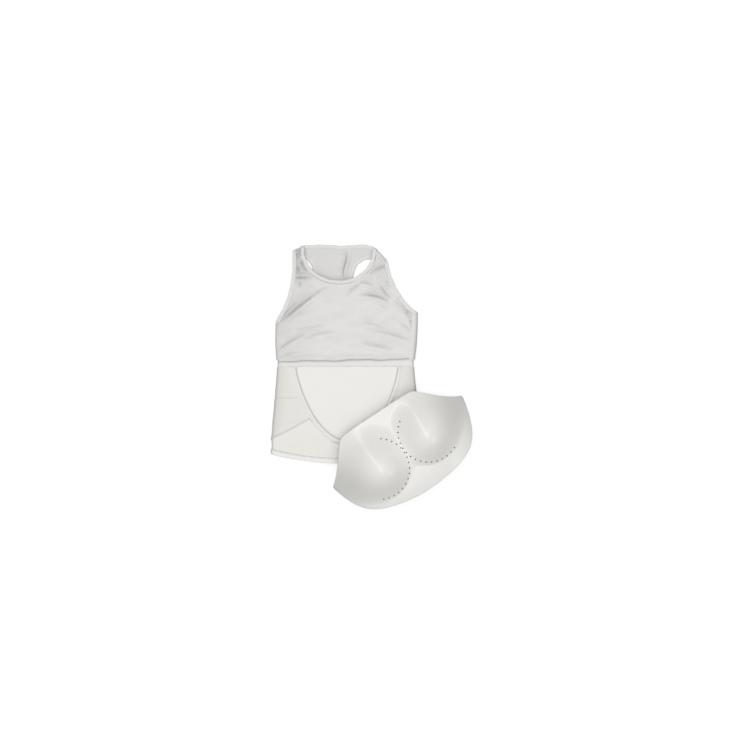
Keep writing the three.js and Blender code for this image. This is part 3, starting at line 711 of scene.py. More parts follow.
# the groove share is the painted shade in the rib grooves
clothFinish = {"specular": 0.3, "sheenRoughness": 0.5, "course": 0.8, "fleckRoughness": 0.16,
               "bumpDepth": 0.4, "ribWaver": 0.25, "grooveDirt": 0.5, "loopsOnRibs": 0.25}
plasticLook = {"lit": (242, 241, 237), "dull": (236, 235, 231), "patchScale": 9.0, "fleckScale": 260.0,
               "roughness": 0.2, "scuffRoughness": 0.04, "bump": 0.35, "bumpDepth": 0.5, "specular": 0.5,
               "glow": 0.12, "glowRadius": (1.0, 0.95, 0.85), "glowScale": 0.004}


def linear(*rgb):
    # colour from 0 to 255 as seen on screen, as linear light
    v = np.array(rgb) / 255
    return (*np.where(v < 0.04045, v / 12.92, ((v + 0.055) / 1.055) ** 2.4), 1.0)


def startMaterial(name, **values):
    # material, its node tree, its Principled shader set to these values, and the Object coordinates
    material = bpy.data.materials.new(name)
    material.use_nodes = True
    tree = material.node_tree
    shader = setInputs(tree, tree.nodes["Principled BSDF"], values)
    return material, tree, shader, tree.nodes.new("ShaderNodeTexCoord").outputs["Object"]


def bumpFrom(tree, height, strength, depth):
    return addNode(tree, "Bump", Height=height, Strength=strength, Distance=depth * mm).outputs[0]


def knitMaterial(name, lit, dull, pitch, bump, roughness, sheen, ribPitch):
    # stretch cloth: loops along its own uv, uneven white, and ribs where it has them
    material, tree, shader, around = startMaterial(
        name, Specular_IOR_Level=clothFinish["specular"], Sheen_Weight=sheen,
        Sheen_Roughness=clothFinish["sheenRoughness"])
    uvMap = tree.nodes.new("ShaderNodeUVMap")
    uvMap.uv_map = "cloth"
    cloth = uvMap.outputs[0]
    loops = placeGroup(tree, knitGroup, Vector=cloth, Wale_Pitch=pitch * mm,
                       Course_Pitch=clothFinish["course"] * pitch * mm)
    grooveShade, height = 0.0, loops["Height"]
    if ribPitch:
        rib = placeGroup(tree, ribGroup, Vector=cloth, Pitch=ribPitch * mm, Waver=clothFinish["ribWaver"])
        # painted shade in the rib grooves, pulling the colour towards the dull one
        grooveShade = calc(tree, "MULTIPLY", rib["Groove"], clothFinish["grooveDirt"])
        height = calc(tree, "MULTIPLY_ADD", height, clothFinish["loopsOnRibs"], rib["Height"])
    # painted shade from the crease attribute darkens the colour in creases, hollows and seams
    crease = tree.nodes.new("ShaderNodeAttribute")
    crease.attribute_name = "crease"
    tone = placeGroup(tree, toneGroup, Vector=around, Lit=linear(*lit), Dull=linear(*dull), Dirt=grooveShade,
                      Crease=crease.outputs["Fac"])
    spread = clothFinish["fleckRoughness"]
    feed(tree, shader.inputs["Base Color"], tone["Color"])
    feed(tree, shader.inputs["Roughness"],
         calc(tree, "MULTIPLY_ADD", tone["Fleck"], spread, roughness - spread / 2))
    feed(tree, shader.inputs["Normal"], bumpFrom(tree, height, bump, clothFinish["bumpDepth"]))
    return material


def plasticMaterial():
    # semi-gloss milky polyethylene
    material, tree, shader, around = startMaterial(
        "milkyPlastic", Specular_IOR_Level=plasticLook["specular"], Subsurface_Weight=plasticLook["glow"],
        Subsurface_Radius=plasticLook["glowRadius"], Subsurface_Scale=plasticLook["glowScale"])
    skin = placeGroup(tree, skinGroup, Vector=around)
    tone = placeGroup(tree, toneGroup, Vector=around, Lit=linear(*plasticLook["lit"]),
                      Dull=linear(*plasticLook["dull"]), Patch_Scale=plasticLook["patchScale"],
                      Fleck_Scale=plasticLook["fleckScale"])
    feed(tree, shader.inputs["Base Color"], tone["Color"])
    feed(tree, shader.inputs["Roughness"],
         calc(tree, "MULTIPLY_ADD", skin["Scuff"], plasticLook["scuffRoughness"], plasticLook["roughness"]))
    feed(tree, shader.inputs["Normal"],
         bumpFrom(tree, skin["Height"], plasticLook["bump"], plasticLook["bumpDepth"]))
    return material


cloths = {name: knitMaterial(name, *look) for name, look in clothLooks.items()}
milkyPlastic = plasticMaterial()
print("materials made:", len(bpy.data.materials))


def finished(piece, slot, *nodes):
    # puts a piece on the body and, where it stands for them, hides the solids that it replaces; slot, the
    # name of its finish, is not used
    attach(piece, "root")
    if nodes:
        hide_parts(*nodes)
    return piece


# Edges of the jersey top

binding = {
    "width": 7.5,
    "seamGap": 0.8,
    "tuck": 0.4,                                       # how far it closes the gap
    "outer": -0.5,
    "highest": -0.8,
    "inner": 3.0,
    "backInner": 2.6,
    "corners": 14,
    "step": 1.6,
    "pucker": [(0.22, 7.3, 0.0), (0.14, 4.3, 1.1)],    # size, length, phase
    "puckerLeast": 0.4,
    "waver": [(0.3, 31.0, 0.0), (0.2, 12.7, 2.0)],
    "stitchIn": 1.4,
    "stitchStep": 1.5,
    "stitchPitch": 3.1,
    "stitchDepth": 0.1,
}
armpit = {"left": 84.0, "right": 109.0}
sideSeams = {"left": (-1, 6.0), "right": (1, -3.0)}    # side, and how far the seam lies past the flat front
frontNeckMiddle, backNeckMiddle = (-15, 170.5), (-15, 245.5)
narrowLeft, narrowRight = (-65, 190), (5, 184)         # narrowest line of the racerback
seamBehind = 2.6                                       # the back ends this far inside the shoulder seam
turnGap = 0.4                                          # and the front this far before the table
bindingRoom = binding["width"] + binding["seamGap"]


def foldEnds(fold, before=0.0):
    # outer and inner end of a strap inside both bindings, on its shoulder fold or that far before it
    ends = (bindingRoom, fold["length"] - bindingRoom)
    return [fold["start"] + fold["along"] * at - fold["over"] * before for at in ends]


def frontSeam(y, side):
    # side seam at y, in the front's own s and y
    sign, past = sideSeams[side]
    return np.array([sign * (tubeAt(y)[1] + past), y])


def backSeam(y, side):
    # the same seam in the back's own f and y
    sign, past = sideSeams[side]
    _, flat, radius, _, _ = tubeAt(y)
    return np.array([sign * (flat + np.pi * radius - past), y])


def overShoulder(fold, point, count=24):
    # straight way of the cloth over a shoulder fold, half round it and nearly down to the table
    sag = cornerSag((point - fold["start"]) @ fold["along"])
    reach = np.pi * float(frontHeight(*(point - fold["over"] * sag))) / 2 - turnGap - sag
    return straight(point, point + fold["over"] * reach, count)


def toFront(path):
    # a path given on the back, in the cloth's own s and y
    return np.stack([onBack(path[:, 0], path[:, 1]), path[:, 1]], 1)


leftOuter, leftInner = foldEnds(leftFold)
rightOuter, rightInner = foldEnds(rightFold)
backLeftOuter, backLeftInner = foldEnds(leftFold, seamBehind)
backRightOuter, backRightInner = foldEnds(rightFold, seamBehind)
frontArmholeLeft = curve(frontSeam(armpit["left"], "left"), (-116, 126), (-104, 178), leftOuter, 80)
frontArmholeRight = curve(rightOuter, (79, 190), (110, 125), frontSeam(armpit["right"], "right"), 80)
frontNeck = joinPaths(curve(leftInner, (-101, 213), (-73, 170.5), frontNeckMiddle, 60),
                      curve(frontNeckMiddle, (30, 170.5), (63, 205), rightInner, 60))
backArmholeLeftLow = curve(backSeam(armpit["left"], "left"), (-150, 66), (-95, 95), narrowLeft, 60)
backArmholeRightLow = curve(narrowRight, (5, 100), (150, 85), backSeam(armpit["right"], "right"), 66)
backArmholeLeftHigh = curve(narrowLeft, (-64, 212), (-71, 236), backLeftOuter, 34)
backArmholeRightHigh = curve(narrowRight, (7, 219), (35, 249), backRightOuter, 34)
backNeck = joinPaths(curve(backLeftInner, (-85, 248), (-45, 249.5), backNeckMiddle, 24),
                     curve(backNeckMiddle, (15, 245), (46, 255), backRightInner, 24))

# Jersey top

frontJersey = {
    "outer": 0.8,
    "inner": 2.3,
    "rows": 146,
    "strap": 16,
    "turnRows": 18,
    "seamDip": 1.5,            # where the bindings are sewn on
    "seamWidth": 2.6,
    "seamFade": 6,             # columns over which the dip runs out beside a strap
    "seamEven": 0.6,           # share of the dip that is even; the rest comes and goes in two beats
    "seamBeats": (13, 29),
}


def bustShade(s, y):
    # shade of the bust panel's creases at cloth points
    return foldParts(tubeAt(y)[0] + s, y)[1]


def strapTurn(fold, start, end, columns):
    # the strap's cloth over its shoulder fold, down to the seam behind it
    ends = [overShoulder(fold, point, frontJersey["turnRows"]) for point in straight(start, end, columns)]
    grid = np.stack(ends, 1)
    return grid[..., 0], grid[..., 1]


def makeFrontPanel():
    # ruled from the wavy hem to the armholes, straps and neck, with both straps turned over the shoulders;
    # the upper edge dips where a binding is sewn on
    strap = frontJersey["strap"]
    top = joinPaths(frontArmholeLeft, straight(leftOuter, leftInner, strap), frontNeck,
                    straight(rightInner, rightOuter, strap), frontArmholeRight)
    bottom = straight(frontSeam(bustHem["level"], "left"), frontSeam(bustHem["level"], "right"), len(top))
    bottom[:, 1] = bustHemAt(bottom[:, 0])
    s, y = toSeams(ruledPatch(bottom, top, frontJersey["rows"]), frontSeam)
    patches = [(s, y), strapTurn(leftFold, leftOuter, leftInner, strap),
               strapTurn(rightFold, rightInner, rightOuter, strap)]
    fromTop = fromBottom(s[::-1], y[::-1])[::-1]
    column = np.arange(len(top))
    strapStarts = len(frontArmholeLeft) - 1, len(top) - len(frontArmholeRight) - strap + 1
    apart = [np.maximum(start - column, column - start - strap + 1) for start in strapStarts]
    slow, slower = frontJersey["seamBeats"]
    beat = np.sin(column / slow) * np.sin(column / slower + 1)
    sewn = ramp(np.minimum(*apart), 0, frontJersey["seamFade"])
    sewn = sewn * (frontJersey["seamEven"] + (1 - frontJersey["seamEven"]) * beat)
    dip = frontJersey["seamDip"] * sewn * bell(fromTop, frontJersey["seamWidth"])
    outer = [frontJersey["outer"] + dip] + [frontJersey["outer"]] * 2
    inner = [frontJersey["inner"] + dip] + [frontJersey["inner"]] * 2
    piece = clothPiece("front_panel_cloth", patches, outer, inner, cloths["jersey"], shadeOf=bustShade)
    return piece, patches


backJersey = {
    "outer": 0.0,
    "inner": 1.5,
    "rows": 64,
    "strap": 8,
    "pull": 3,                 # how close to the armholes the cloth above the narrowest line is drawn out
    "crease": ((1, 244), (-4, 182)),
    "creaseSway": 2.0,
    "creaseRise": 4.5,
    "creaseFade": 0.7,
    "creaseWidth": 3.0,
    "creaseLean": 2.2,         # how much wider it is on its right
    "shade": 0.5,              # along the left foot of the crease
    "shadeFade": 0.6,
    "foot": (3.0, 1.6),        # how far to the left, how wide
    "footSoft": (6.0, 5.0),
    "softShare": 0.3,
    "duller": (110.0, 50.0),   # from y, over
    "dullShade": 0.12,
    "crinkle": 0.9,
    "crinkleFrom": (205.0, 40.0),
    "crinkleBase": 0.75,
    "crinklePitch": 14.0,
}


def backCrease(f, y):
    # share of the way down the middle crease, and the distance to the right of its S
    (x0, y0), (x1, y1) = backJersey["crease"]
    t = ramp(y, y0, y1 - y0)
    return t, f - x0 - (x1 - x0) * t - backJersey["creaseSway"] * np.sin(2 * np.pi * t)


def backShade(f, y):
    # dark along the left foot of the crease, and duller towards the neck
    t, aside = backCrease(f, y)
    line, soft = (bell(aside + away, width) for away, width in (backJersey["foot"], backJersey["footSoft"]))
    fade = np.sin(np.pi * t) ** backJersey["shadeFade"]
    shade = backJersey["shade"] * fade * (line + backJersey["softShare"] * soft)
    return shade + backJersey["dullShade"] * ramp(y, *backJersey["duller"])


def backRise(f, y):
    # the middle crease and slight gathers of the back, lifting the cloth off the table
    t, aside = backCrease(f, y)
    ridge = backJersey["creaseRise"] * np.sin(np.pi * t) ** backJersey["creaseFade"]
    ridge = ridge * bell(aside / np.where(aside > 0, backJersey["creaseLean"], 1), backJersey["creaseWidth"])
    gathered = backJersey["crinkleBase"] + crumple(f, y, backJersey["crinklePitch"])
    return ridge + backJersey["crinkle"] * ramp(y, *backJersey["crinkleFrom"]) * gathered


def makeBackPanel():
    # ruled from the hem to the low armholes and the narrowest line, and from there drawn out to the straps
    strap = backJersey["strap"]
    top = joinPaths(straight(backLeftOuter, backLeftInner, strap), backNeck,
                    straight(backRightInner, backRightOuter, strap))
    narrow = straight(narrowLeft, narrowRight, len(top))
    upper = edgedPatch(narrow, top, backArmholeLeftHigh, backArmholeRightHigh, backJersey["pull"])
    lowerTop = joinPaths(backArmholeLeftLow, narrow, backArmholeRightLow)
    bottom = straight(backSeam(bustHem["level"], "left"), backSeam(bustHem["level"], "right"), len(lowerTop))
    patches = [toSeams(ruledPatch(bottom, lowerTop, backJersey["rows"]), backSeam), upper]
    lifts = [backRise(*patch) for patch in patches]
    outer = [backJersey["outer"] + lift for lift in lifts]
    inner = [backJersey["inner"] + lift for lift in lifts]
    piece = clothPiece("back_panel_cloth", patches, outer, inner, cloths["ribJersey"], drapeBack, backShade)
    return piece, patches


def makeBinding(name, path, inner, place, flip):
    # folded strip along an edge: a flattened tube, drawn in and puffed a little by its stitches
    path, at = evenPath(path, binding["step"])
    low, high = binding["seamGap"] - binding["tuck"], binding["seamGap"] + binding["width"]
    across, deep = roundedProfile(low, high, binding["outer"], inner, binding["corners"])
    share = np.clip((across - low) / (high - low), 0, 1)
    drawn = (deep < inner / 2) * (1 - (1 - binding["puckerLeast"]) * share)
    across = across[None] + wobble(at, binding["waver"])[:, None] * share[None]
    deep = np.maximum(deep[None] + wobble(at, binding["pucker"])[:, None] * drawn[None], binding["highest"])
    return tubePiece(name, path, across, deep, cloths["bindingCloth"], place, flip)


def stitchBeside(name, path, place, flip):
    # row of stitches on a binding, beside its seam
    path, _ = evenPath(path, binding["stitchStep"])
    path = path + leftNormals(path) * (binding["seamGap"] + binding["stitchIn"]) * flip
    return stitchRow(name, path, binding["stitchPitch"], binding["stitchDepth"], place)


frontPanel, frontPatches = makeFrontPanel()
backPanel, backPatches = makeBackPanel()
finished(frontPanel, "jersey", "front_panel")
finished(backPanel, "jersey_back", "back_panel")

bindingPaths = {
    "front_neck_binding": (joinPaths(overShoulder(leftFold, leftInner)[::-1], frontNeck,
                                     overShoulder(rightFold, rightInner)), binding["inner"], drape, 1),
    "back_neck_binding": (backNeck, binding["backInner"], drapeBack, 1),
    "left_armhole_binding": (joinPaths(overShoulder(leftFold, leftOuter)[::-1], frontArmholeLeft[::-1],
                                       toFront(backArmholeLeftLow), toFront(backArmholeLeftHigh)),
                             binding["backInner"], drape, -1),
    "right_armhole_binding": (joinPaths(overShoulder(rightFold, rightOuter)[::-1], frontArmholeRight,
                                        toFront(backArmholeRightLow[::-1]), toFront(backArmholeRightHigh)),
                              binding["backInner"], drape, 1),
}
for node, (path, inner, place, flip) in bindingPaths.items():
    strip = finished(makeBinding(node + "_strip", path, inner, place, flip), "binding", node)
    row = finished(stitchBeside(node + "_stitches", path, place, flip), "binding")
print("jersey top made")

# Belly section

waist = {
    "top": 12.5,
    "bottom": -6.5,
    "outer": 3.0,
    "inner": 5.2,
    "rows": 15,
    "columns": 640,
    "pucker": 0.9,             # where the seam draws the strip in
    "puckerPitch": 20.0,
    "puckerReach": 0.28,       # share of the strip's width
    "fine": 0.25,
    "finePitch": 9.0,
    "fineAt": 0.3,
    "fineReach": 0.4,
    "roundEdge": 0.5,
    "shade": 0.1,
    "hemShade": 0.44,          # under the bust hem
    "hemReach": 3.2,
    "seamShade": 0.08,
    "drawnShade": 0.5,
    "drawnSlant": 0.2,
    "seamReach": 3.0,
    "stitchUp": 2.2,
    "stitchPitch": 3.4,
    "stitchDepth": 0.1,
}
hem = {
    "middle": -213.0,
    "rise": 20.0,
    "halfWidth": 160.0,
    "width": 11.0,
    "outer": 0.6,
    "inner": 3.4,
    "rows": 14,
    "columns": 700,
    "rib": 0.3,
    "ribPitch": 4.2,
    "ribSway": 1.5,
    "swayLength": 17.0,
    "roundEdge": 0.7,
    "seamAt": 0.86,            # share of the way up the hem
    "seamReach": 0.08,
    "seamDip": 1.2,
    "seamShade": 0.4,
    "dashPitch": 5.4,
    "betweenDashes": 0.25,
    "stitchAt": 0.8,
    "stitchPitch": 5.2,
    "stitchDepth": 0.25,
    "stitchTurn": 24,
    "stitchLength": 3.6,
}
hemLevel = hem["middle"] + hem["rise"] / 2


def allRound(y, columns):
    # cloth positions once round the tube at y, from the middle of the back by the left side
    _, flat, radius, _, _ = tubeAt(np.array(y, float))
    half = 2 * flat + np.pi * radius
    return np.linspace(-half, half, columns)


def waistShade(s, y):
    # shade under the bust hem and where the seam draws the strip in
    under = np.maximum(bustHemAt(s) - y, 0)
    drawn = np.maximum(crumple(s, waist["drawnSlant"] * s, waist["puckerPitch"]), 0)
    seam = (waist["seamShade"] + waist["drawnShade"] * drawn) * bell(y - waist["bottom"], waist["seamReach"])
    return waist["shade"] + waist["hemShade"] * bell(under, waist["hemReach"]) + seam


def makeWaistBand():
    # strip between the jersey and the belly section, puckered along its lower edge by the seam
    t = np.linspace(0, 1, waist["rows"])[:, None]
    levels = waist["bottom"] + (waist["top"] - waist["bottom"]) * t
    s = np.stack([allRound(level, waist["columns"]) for level in levels[:, 0]])
    y = levels + 0 * s
    pucker = np.abs(np.cos(np.pi * s / waist["puckerPitch"])) ** 4 * bell(t, waist["puckerReach"])
    fine = ripple(s, y, waist["finePitch"]) * bell(t - waist["fineAt"], waist["fineReach"])
    edges = waist["roundEdge"] * (2 * t - 1) ** 6
    outer = waist["outer"] + waist["pucker"] * pucker + waist["fine"] * fine + edges
    piece = clothPiece("waist_band_strip", [(s, y)], [outer], [waist["inner"] + 0 * s],
                       cloths["elasticCloth"], shadeOf=waistShade)
    return piece, [(s, y)]


def hemEdge(s, y):
    # lower edge of the hem, rising with the square of the way to the side
    x = drape(s, y, 0)[..., 0]
    return hem["middle"] + hem["rise"] * (x / hem["halfWidth"]) ** 2


def hemSeam(s, t):
    # dashes of the seam along the upper edge of the hem, from none to one
    dashes = 0.5 + 0.5 * np.sign(np.sin(2 * np.pi * s / hem["dashPitch"]))
    between = hem["betweenDashes"]
    return (between + (1 - between) * dashes) * bell(t - hem["seamAt"], hem["seamReach"])


def hemShade(s, y):
    # shade in the dashes of the seam
    return hem["seamShade"] * hemSeam(s, (y - hemEdge(s, hemLevel)) / hem["width"])


def makeHemBand():
    # elastic hem all round, with fine gathers across it, rounded edges and its seam drawn in
    t = np.linspace(0, 1, hem["rows"])[:, None]
    s = allRound(hemLevel, hem["columns"])[None] + 0 * t
    y = hemEdge(s, hemLevel) + t * hem["width"]
    sway = hem["ribSway"] * np.sin(s / hem["swayLength"])
    gathered = hem["rib"] * np.cos(2 * np.pi * s / hem["ribPitch"] + sway) * (1 - t ** 8)
    edges = hem["roundEdge"] * np.abs(2 * t - 1) ** 7
    outer = hem["outer"] + edges + hem["seamDip"] * hemSeam(s, t) + gathered
    piece = clothPiece("hem_band_elastic", [(s, y)], [outer], [hem["inner"] + 0 * s],
                       cloths["elasticCloth"], shadeOf=hemShade)
    return piece, [(s, y)]


bib = {
    "middle": 3.0,
    "halfWidth": 109.0,
    "depth": 156.0,
    "top": -6.9,
    "roundness": 1.48,
    "outer": 2.4,
    "inner": 8.6,
    "swell": 2.3,
    "coarse": (22, 52),        # grid of the cloth run
    "fine": (80, 300),         # and of the finished pad
    "gather": 0.35,            # below the waist seam
    "gatherReach": 9.0,
    "gatherPitch": 19.0,
    "gatherSway": 31.0,
    "edgeShade": 0.34,
    "edgeReach": 0.024,        # share of the way in
}
piping = {"gap": 0.4, "width": 6.4, "top": -1.4, "bottom": 5.6, "foot": 5.0, "corners": 20, "roundness": 2.2,
          "points": 400, "step": 1.7, "waves": [(0.15, 23.0, 0.0), (0.1, 9.1, 0.0)]}
wing = {
    "bibAngle": math.radians(49),
    "outerY": -174.0,
    "backInset": 20.0,
    "outer": 1.9,
    "inner": 5.3,
    "swell": 1.9,
    "coarse": (32, 34),
    "fine": (150, 130),
    "welt": 1.3,               # along the lower seam
    "weltAt": 3.6,
    "weltWidth": 2.2,
    "seamLine": -73.0,
    "seamDip": 0.9,
    "seamWidth": 1.3,
    "drag": 0.3,               # slack lines above the welt
    "dragAt": 34.0,
    "dragReach": 30.0,
    "dragPitch": 15.0,
    "dragSlant": 0.4,
    "shade": 0.07,
    "turnShade": 0.12,         # where the cloth turns round the side
    "turnAt": 4.0,
    "turnWidth": 14.0,
    "stitchFrom": 152,
    "stitchTo": {"left": 104, "right": 110},
    "stitchPoints": 40,
    "stitchPitch": 3.2,
}
groove = 0.5
lower = {"outer": 2.6, "inner": 5.8, "swell": 1.9, "coarse": (14, 26), "fine": (50, 90), "gather": 0.45,
         "gatherReach": 7.0, "gatherPitch": 9.5, "gatherSway": 21.0}
backWaist = {"outer": 0.0, "inner": 2.4, "rows": 60, "columns": 90, "gap": 0.4, "lift": 0.2, "pitch": 46.0}
besideBib = piping["width"] + 2 * piping["gap"]
rightShift = 2 * bib["middle"]


def bibEdge(angle, grow):
    # the U of the bib grown outwards, angle 0 at its right top
    drop = np.maximum(np.sin(angle), 0) ** bib["roundness"]
    return np.stack([bib["middle"] + (bib["halfWidth"] + grow) * np.cos(angle),
                     bib["top"] - (bib["depth"] + grow) * drop], -1)


def bibPatch(rings, columns):
    # concentric copies of the U, shrinking to the middle of the top edge
    angle, share = np.linspace(np.pi, 0, columns)[None], np.linspace(1, 0, rings)[:, None]
    edge = bibEdge(angle, 0)
    s = bib["middle"] + share * (edge[..., 0] - bib["middle"])
    return s, bib["top"] + share * (edge[..., 1] - bib["top"])


def backEdge(y):
    # cloth position of the left wing's edge on the back
    return onBack(-(tubeAt(y)[1] - wing["backInset"]), y)


def wingSeam(count, shift=0.0, down=0.0):
    # lower seam of the left wing, from the back round the side to the bib
    start = (backEdge(np.array(wing["outerY"])), wing["outerY"])
    line = curve(start, (-165, -168), (-118, -140), bibEdge(np.pi - wing["bibAngle"], besideBib), count)
    return line - np.stack([shift * np.linspace(0, 1, count), np.full(count, down)], 1)


def wingPatch(rows, columns, mirror):
    # between the lower seam, the waist, the edge on the back and the piping; the right wing mirrors the left
    shift = rightShift if mirror else 0.0
    y = np.linspace(wing["outerY"], bib["top"], rows)
    left = np.stack([backEdge(y), y], 1)
    right = bibEdge(np.linspace(np.pi - wing["bibAngle"], np.pi, rows), besideBib) - [shift, 0]
    s, y = edgedPatch(wingSeam(columns, shift), straight(left[-1], right[-1], columns), left, right)
    return (-s[:, ::-1], y[:, ::-1]) if mirror else (s, y)


def lowerPatch(rows, columns):
    # between the hem and, from left to right, the left wing's seam, the piping and the right wing's seam
    arcAngle = wing["bibAngle"] + groove / bib["halfWidth"]
    arc = bibEdge(np.linspace(np.pi - arcAngle, arcAngle, columns), besideBib)
    right = wingSeam(columns, rightShift, groove)[::-1] * [-1, 1]
    top = np.concatenate([wingSeam(columns, 0, groove), arc, right])
    start = np.array(wing["outerY"] - groove)
    edgeTop = groove + hem["width"]
    y = np.linspace(hemEdge(backEdge(start), start) + edgeTop, start, rows)
    left = np.stack([backEdge(y), y], 1)
    bottom = np.stack([top[:, 0], hemEdge(top[:, 0], hemLevel) + edgeTop], 1)
    bottom[0], bottom[-1] = left[0], left[0] * [-1, 1]
    return edgedPatch(bottom, top, left, left * [-1, 1])


padRun = {"frames": 18, "quality": 5, "mass": 0.3, "pressure": 4.0, "tension": 12.0, "shear": 4.0,
          "bending": 0.6}


def swellOf(patch, outer, inner, most):
    # how far a pad swells between its seams: its coarse closed shape, held by its rim and its inner face, is
    # blown up by a short cloth run, and each point's way outwards is levelled off softly below the most
    s, _ = patch
    edge = np.ones(s.shape, bool)
    edge[1:-1, 1:-1] = False
    points, faces, uvs, places, _ = clothWall([patch], [outer], [inner])
    pad = newObject("padBeforeSewing", points, faces, uvs, cloths["padCloth"])
    held = pad.vertex_groups.new(name="held")
    count = int(places.max()) + 1
    held.add([int(k) for k in np.unique(places[edge.ravel()])], 1.0, "REPLACE")
    held.add(list(range(count, len(points))), 1.0, "REPLACE")
    run = pad.modifiers.new("swelling", "CLOTH")
    cloth = run.settings
    cloth.quality = padRun["quality"]
    cloth.mass = padRun["mass"]
    cloth.tension_stiffness = cloth.compression_stiffness = padRun["tension"]
    cloth.shear_stiffness = padRun["shear"]
    cloth.bending_stiffness = padRun["bending"]
    cloth.use_pressure = True
    cloth.uniform_pressure_force = padRun["pressure"]
    cloth.effector_weights.gravity = 0
    cloth.vertex_group_mass = "held"
    run.collision_settings.use_collision = False
    for step in range(1, padRun["frames"] + 1):
        bpy.context.scene.frame_set(step)
    swollen = pad.evaluated_get(bpy.context.evaluated_depsgraph_get()).to_mesh()
    moved = np.empty(len(points) * 3, np.float32)
    swollen.vertices.foreach_get("co", moved)
    outward = np.empty(len(points) * 3, np.float32)
    pad.data.vertex_normals.foreach_get("vector", outward)
    way = ((moved.reshape(-1, 3) / mm - points) * outward.reshape(-1, 3)).sum(1)
    bpy.context.scene.frame_set(1)
    bpy.data.meshes.remove(pad.data)
    return most * np.tanh(np.maximum(way, 0) / most)[places].reshape(s.shape)


def refine(grid, rows, columns):
    # a coarse grid of values at more points: cubic interpolation along the rows, then along the columns
    for count in (rows, columns):
        at = np.linspace(0, len(grid) - 1, count)
        low = np.minimum(at.astype(int), len(grid) - 2)
        t = (at - low)[:, None]
        p = [grid[np.clip(low + k, 0, len(grid) - 1)] for k in (-1, 0, 1, 2)]
        slope0, slope1 = (p[2] - p[0]) / 2, (p[3] - p[1]) / 2
        ends = p[1] * (1 + 2 * t) * (1 - t) ** 2 + p[2] * t * t * (3 - 2 * t)
        grid = (ends + slope0 * t * (1 - t) ** 2 + slope1 * t * t * (t - 1)).T
    return grid


def padPiece(name, makePatch, sizes, material, detail, shadeOf=None):
    # padded piece: its swelling from the cloth run, laid over the fine patch, with sewn detail as extra depth
    swell = swellOf(makePatch(*sizes["coarse"]), sizes["outer"], sizes["inner"], sizes["swell"])
    patch = makePatch(*sizes["fine"])
    outer = sizes["outer"] - refine(swell, *patch[0].shape) + detail(*patch)
    piece = clothPiece(name, [patch], [outer], [sizes["inner"] + 0 * outer], material, shadeOf=shadeOf)
    return piece


def gathers(s, away, sizes):
    # shallow ripples along a seam that run out away from it
    wave = 1 + np.cos(2 * np.pi * s / sizes["gatherPitch"] + np.sin(s / sizes["gatherSway"]))
    return sizes["gather"] * np.exp(-away / sizes["gatherReach"]) * wave


def wingDetail(s, y):
    # a welt along the lower seam, one sewn line across, and slack drag lines that run with the seam
    up = fromBottom(s, y)
    welt = wing["welt"] * bell(up - wing["weltAt"], wing["weltWidth"])
    line = wing["seamDip"] * bell(y - wing["seamLine"], wing["seamWidth"])
    slack = wing["drag"] * ripple(up, wing["dragSlant"] * s, wing["dragPitch"])
    return line - welt - slack * bell(up - wing["dragAt"], wing["dragReach"])


def wingShade(s, y):
    # duller than the rest, most where the cloth turns round the side
    turned = np.abs(s) - tubeAt(y)[1] - wing["turnAt"]
    return wing["shade"] + wing["turnShade"] * bell(turned, wing["turnWidth"])


def lowerDetail(s, y):
    return gathers(s, fromBottom(s, y), lower)


def bibDetail(s, y):
    return gathers(s, bib["top"] - y, bib)


def bibShade(s, y):
    # shade in the groove along the U, from the share of the way in from its edge
    across = np.abs(s - bib["middle"]) / bib["halfWidth"]
    down = np.maximum((bib["top"] - y) / bib["depth"], 0) ** (1 / bib["roundness"])
    return bib["edgeShade"] * bell(np.maximum(1 - np.hypot(across, down), 0), bib["edgeReach"])


def makePiping():
    # round welt along the outside of the bib, running out softly on to the wings
    edge = bibEdge(np.linspace(np.pi, 0, piping["points"]), piping["gap"])
    path, at = evenPath(edge, piping["step"])
    across, deep = roundedProfile(0, piping["width"], piping["top"], piping["bottom"], piping["corners"],
                                  piping["roundness"])
    low = ramp(deep, piping["top"], wing["outer"] - piping["top"])
    across = across + np.where(across > piping["width"] / 2, piping["foot"] * low ** 2, 0)
    deep = deep[None] + wobble(at, piping["waves"])[:, None]
    return tubePiece("bib_piping_welt", path, -across[None] + 0 * deep, deep, cloths["padCloth"])


def makeBackWaist():
    # plain back of the belly section, from the hem to the waist between the wings
    inset = wing["backInset"] + backWaist["gap"]
    low = hem["middle"] + hem["rise"]
    share = np.linspace(-1, 1, backWaist["columns"])
    f = share * (tubeAt(low)[1] - inset)
    bottom = hemEdge(onBack(f, low + 0 * f), low) + hem["width"] + groove
    y = bottom[None] + np.linspace(0, 1, backWaist["rows"])[:, None] * (bib["top"] - bottom[None])
    f = share[None] * (tubeAt(y)[1] - inset)
    lift = backWaist["lift"] * (1 + ripple(f, y, backWaist["pitch"]))
    piece = clothPiece("back_waist_cloth", [(f, y)], [backWaist["outer"] + lift], [backWaist["inner"] + lift],
                       cloths["sidePadCloth"], drapeBack)
    return piece, [(f, y)]


def leftWingPatch(rows, columns):
    return wingPatch(rows, columns, False)


def rightWingPatch(rows, columns):
    return wingPatch(rows, columns, True)


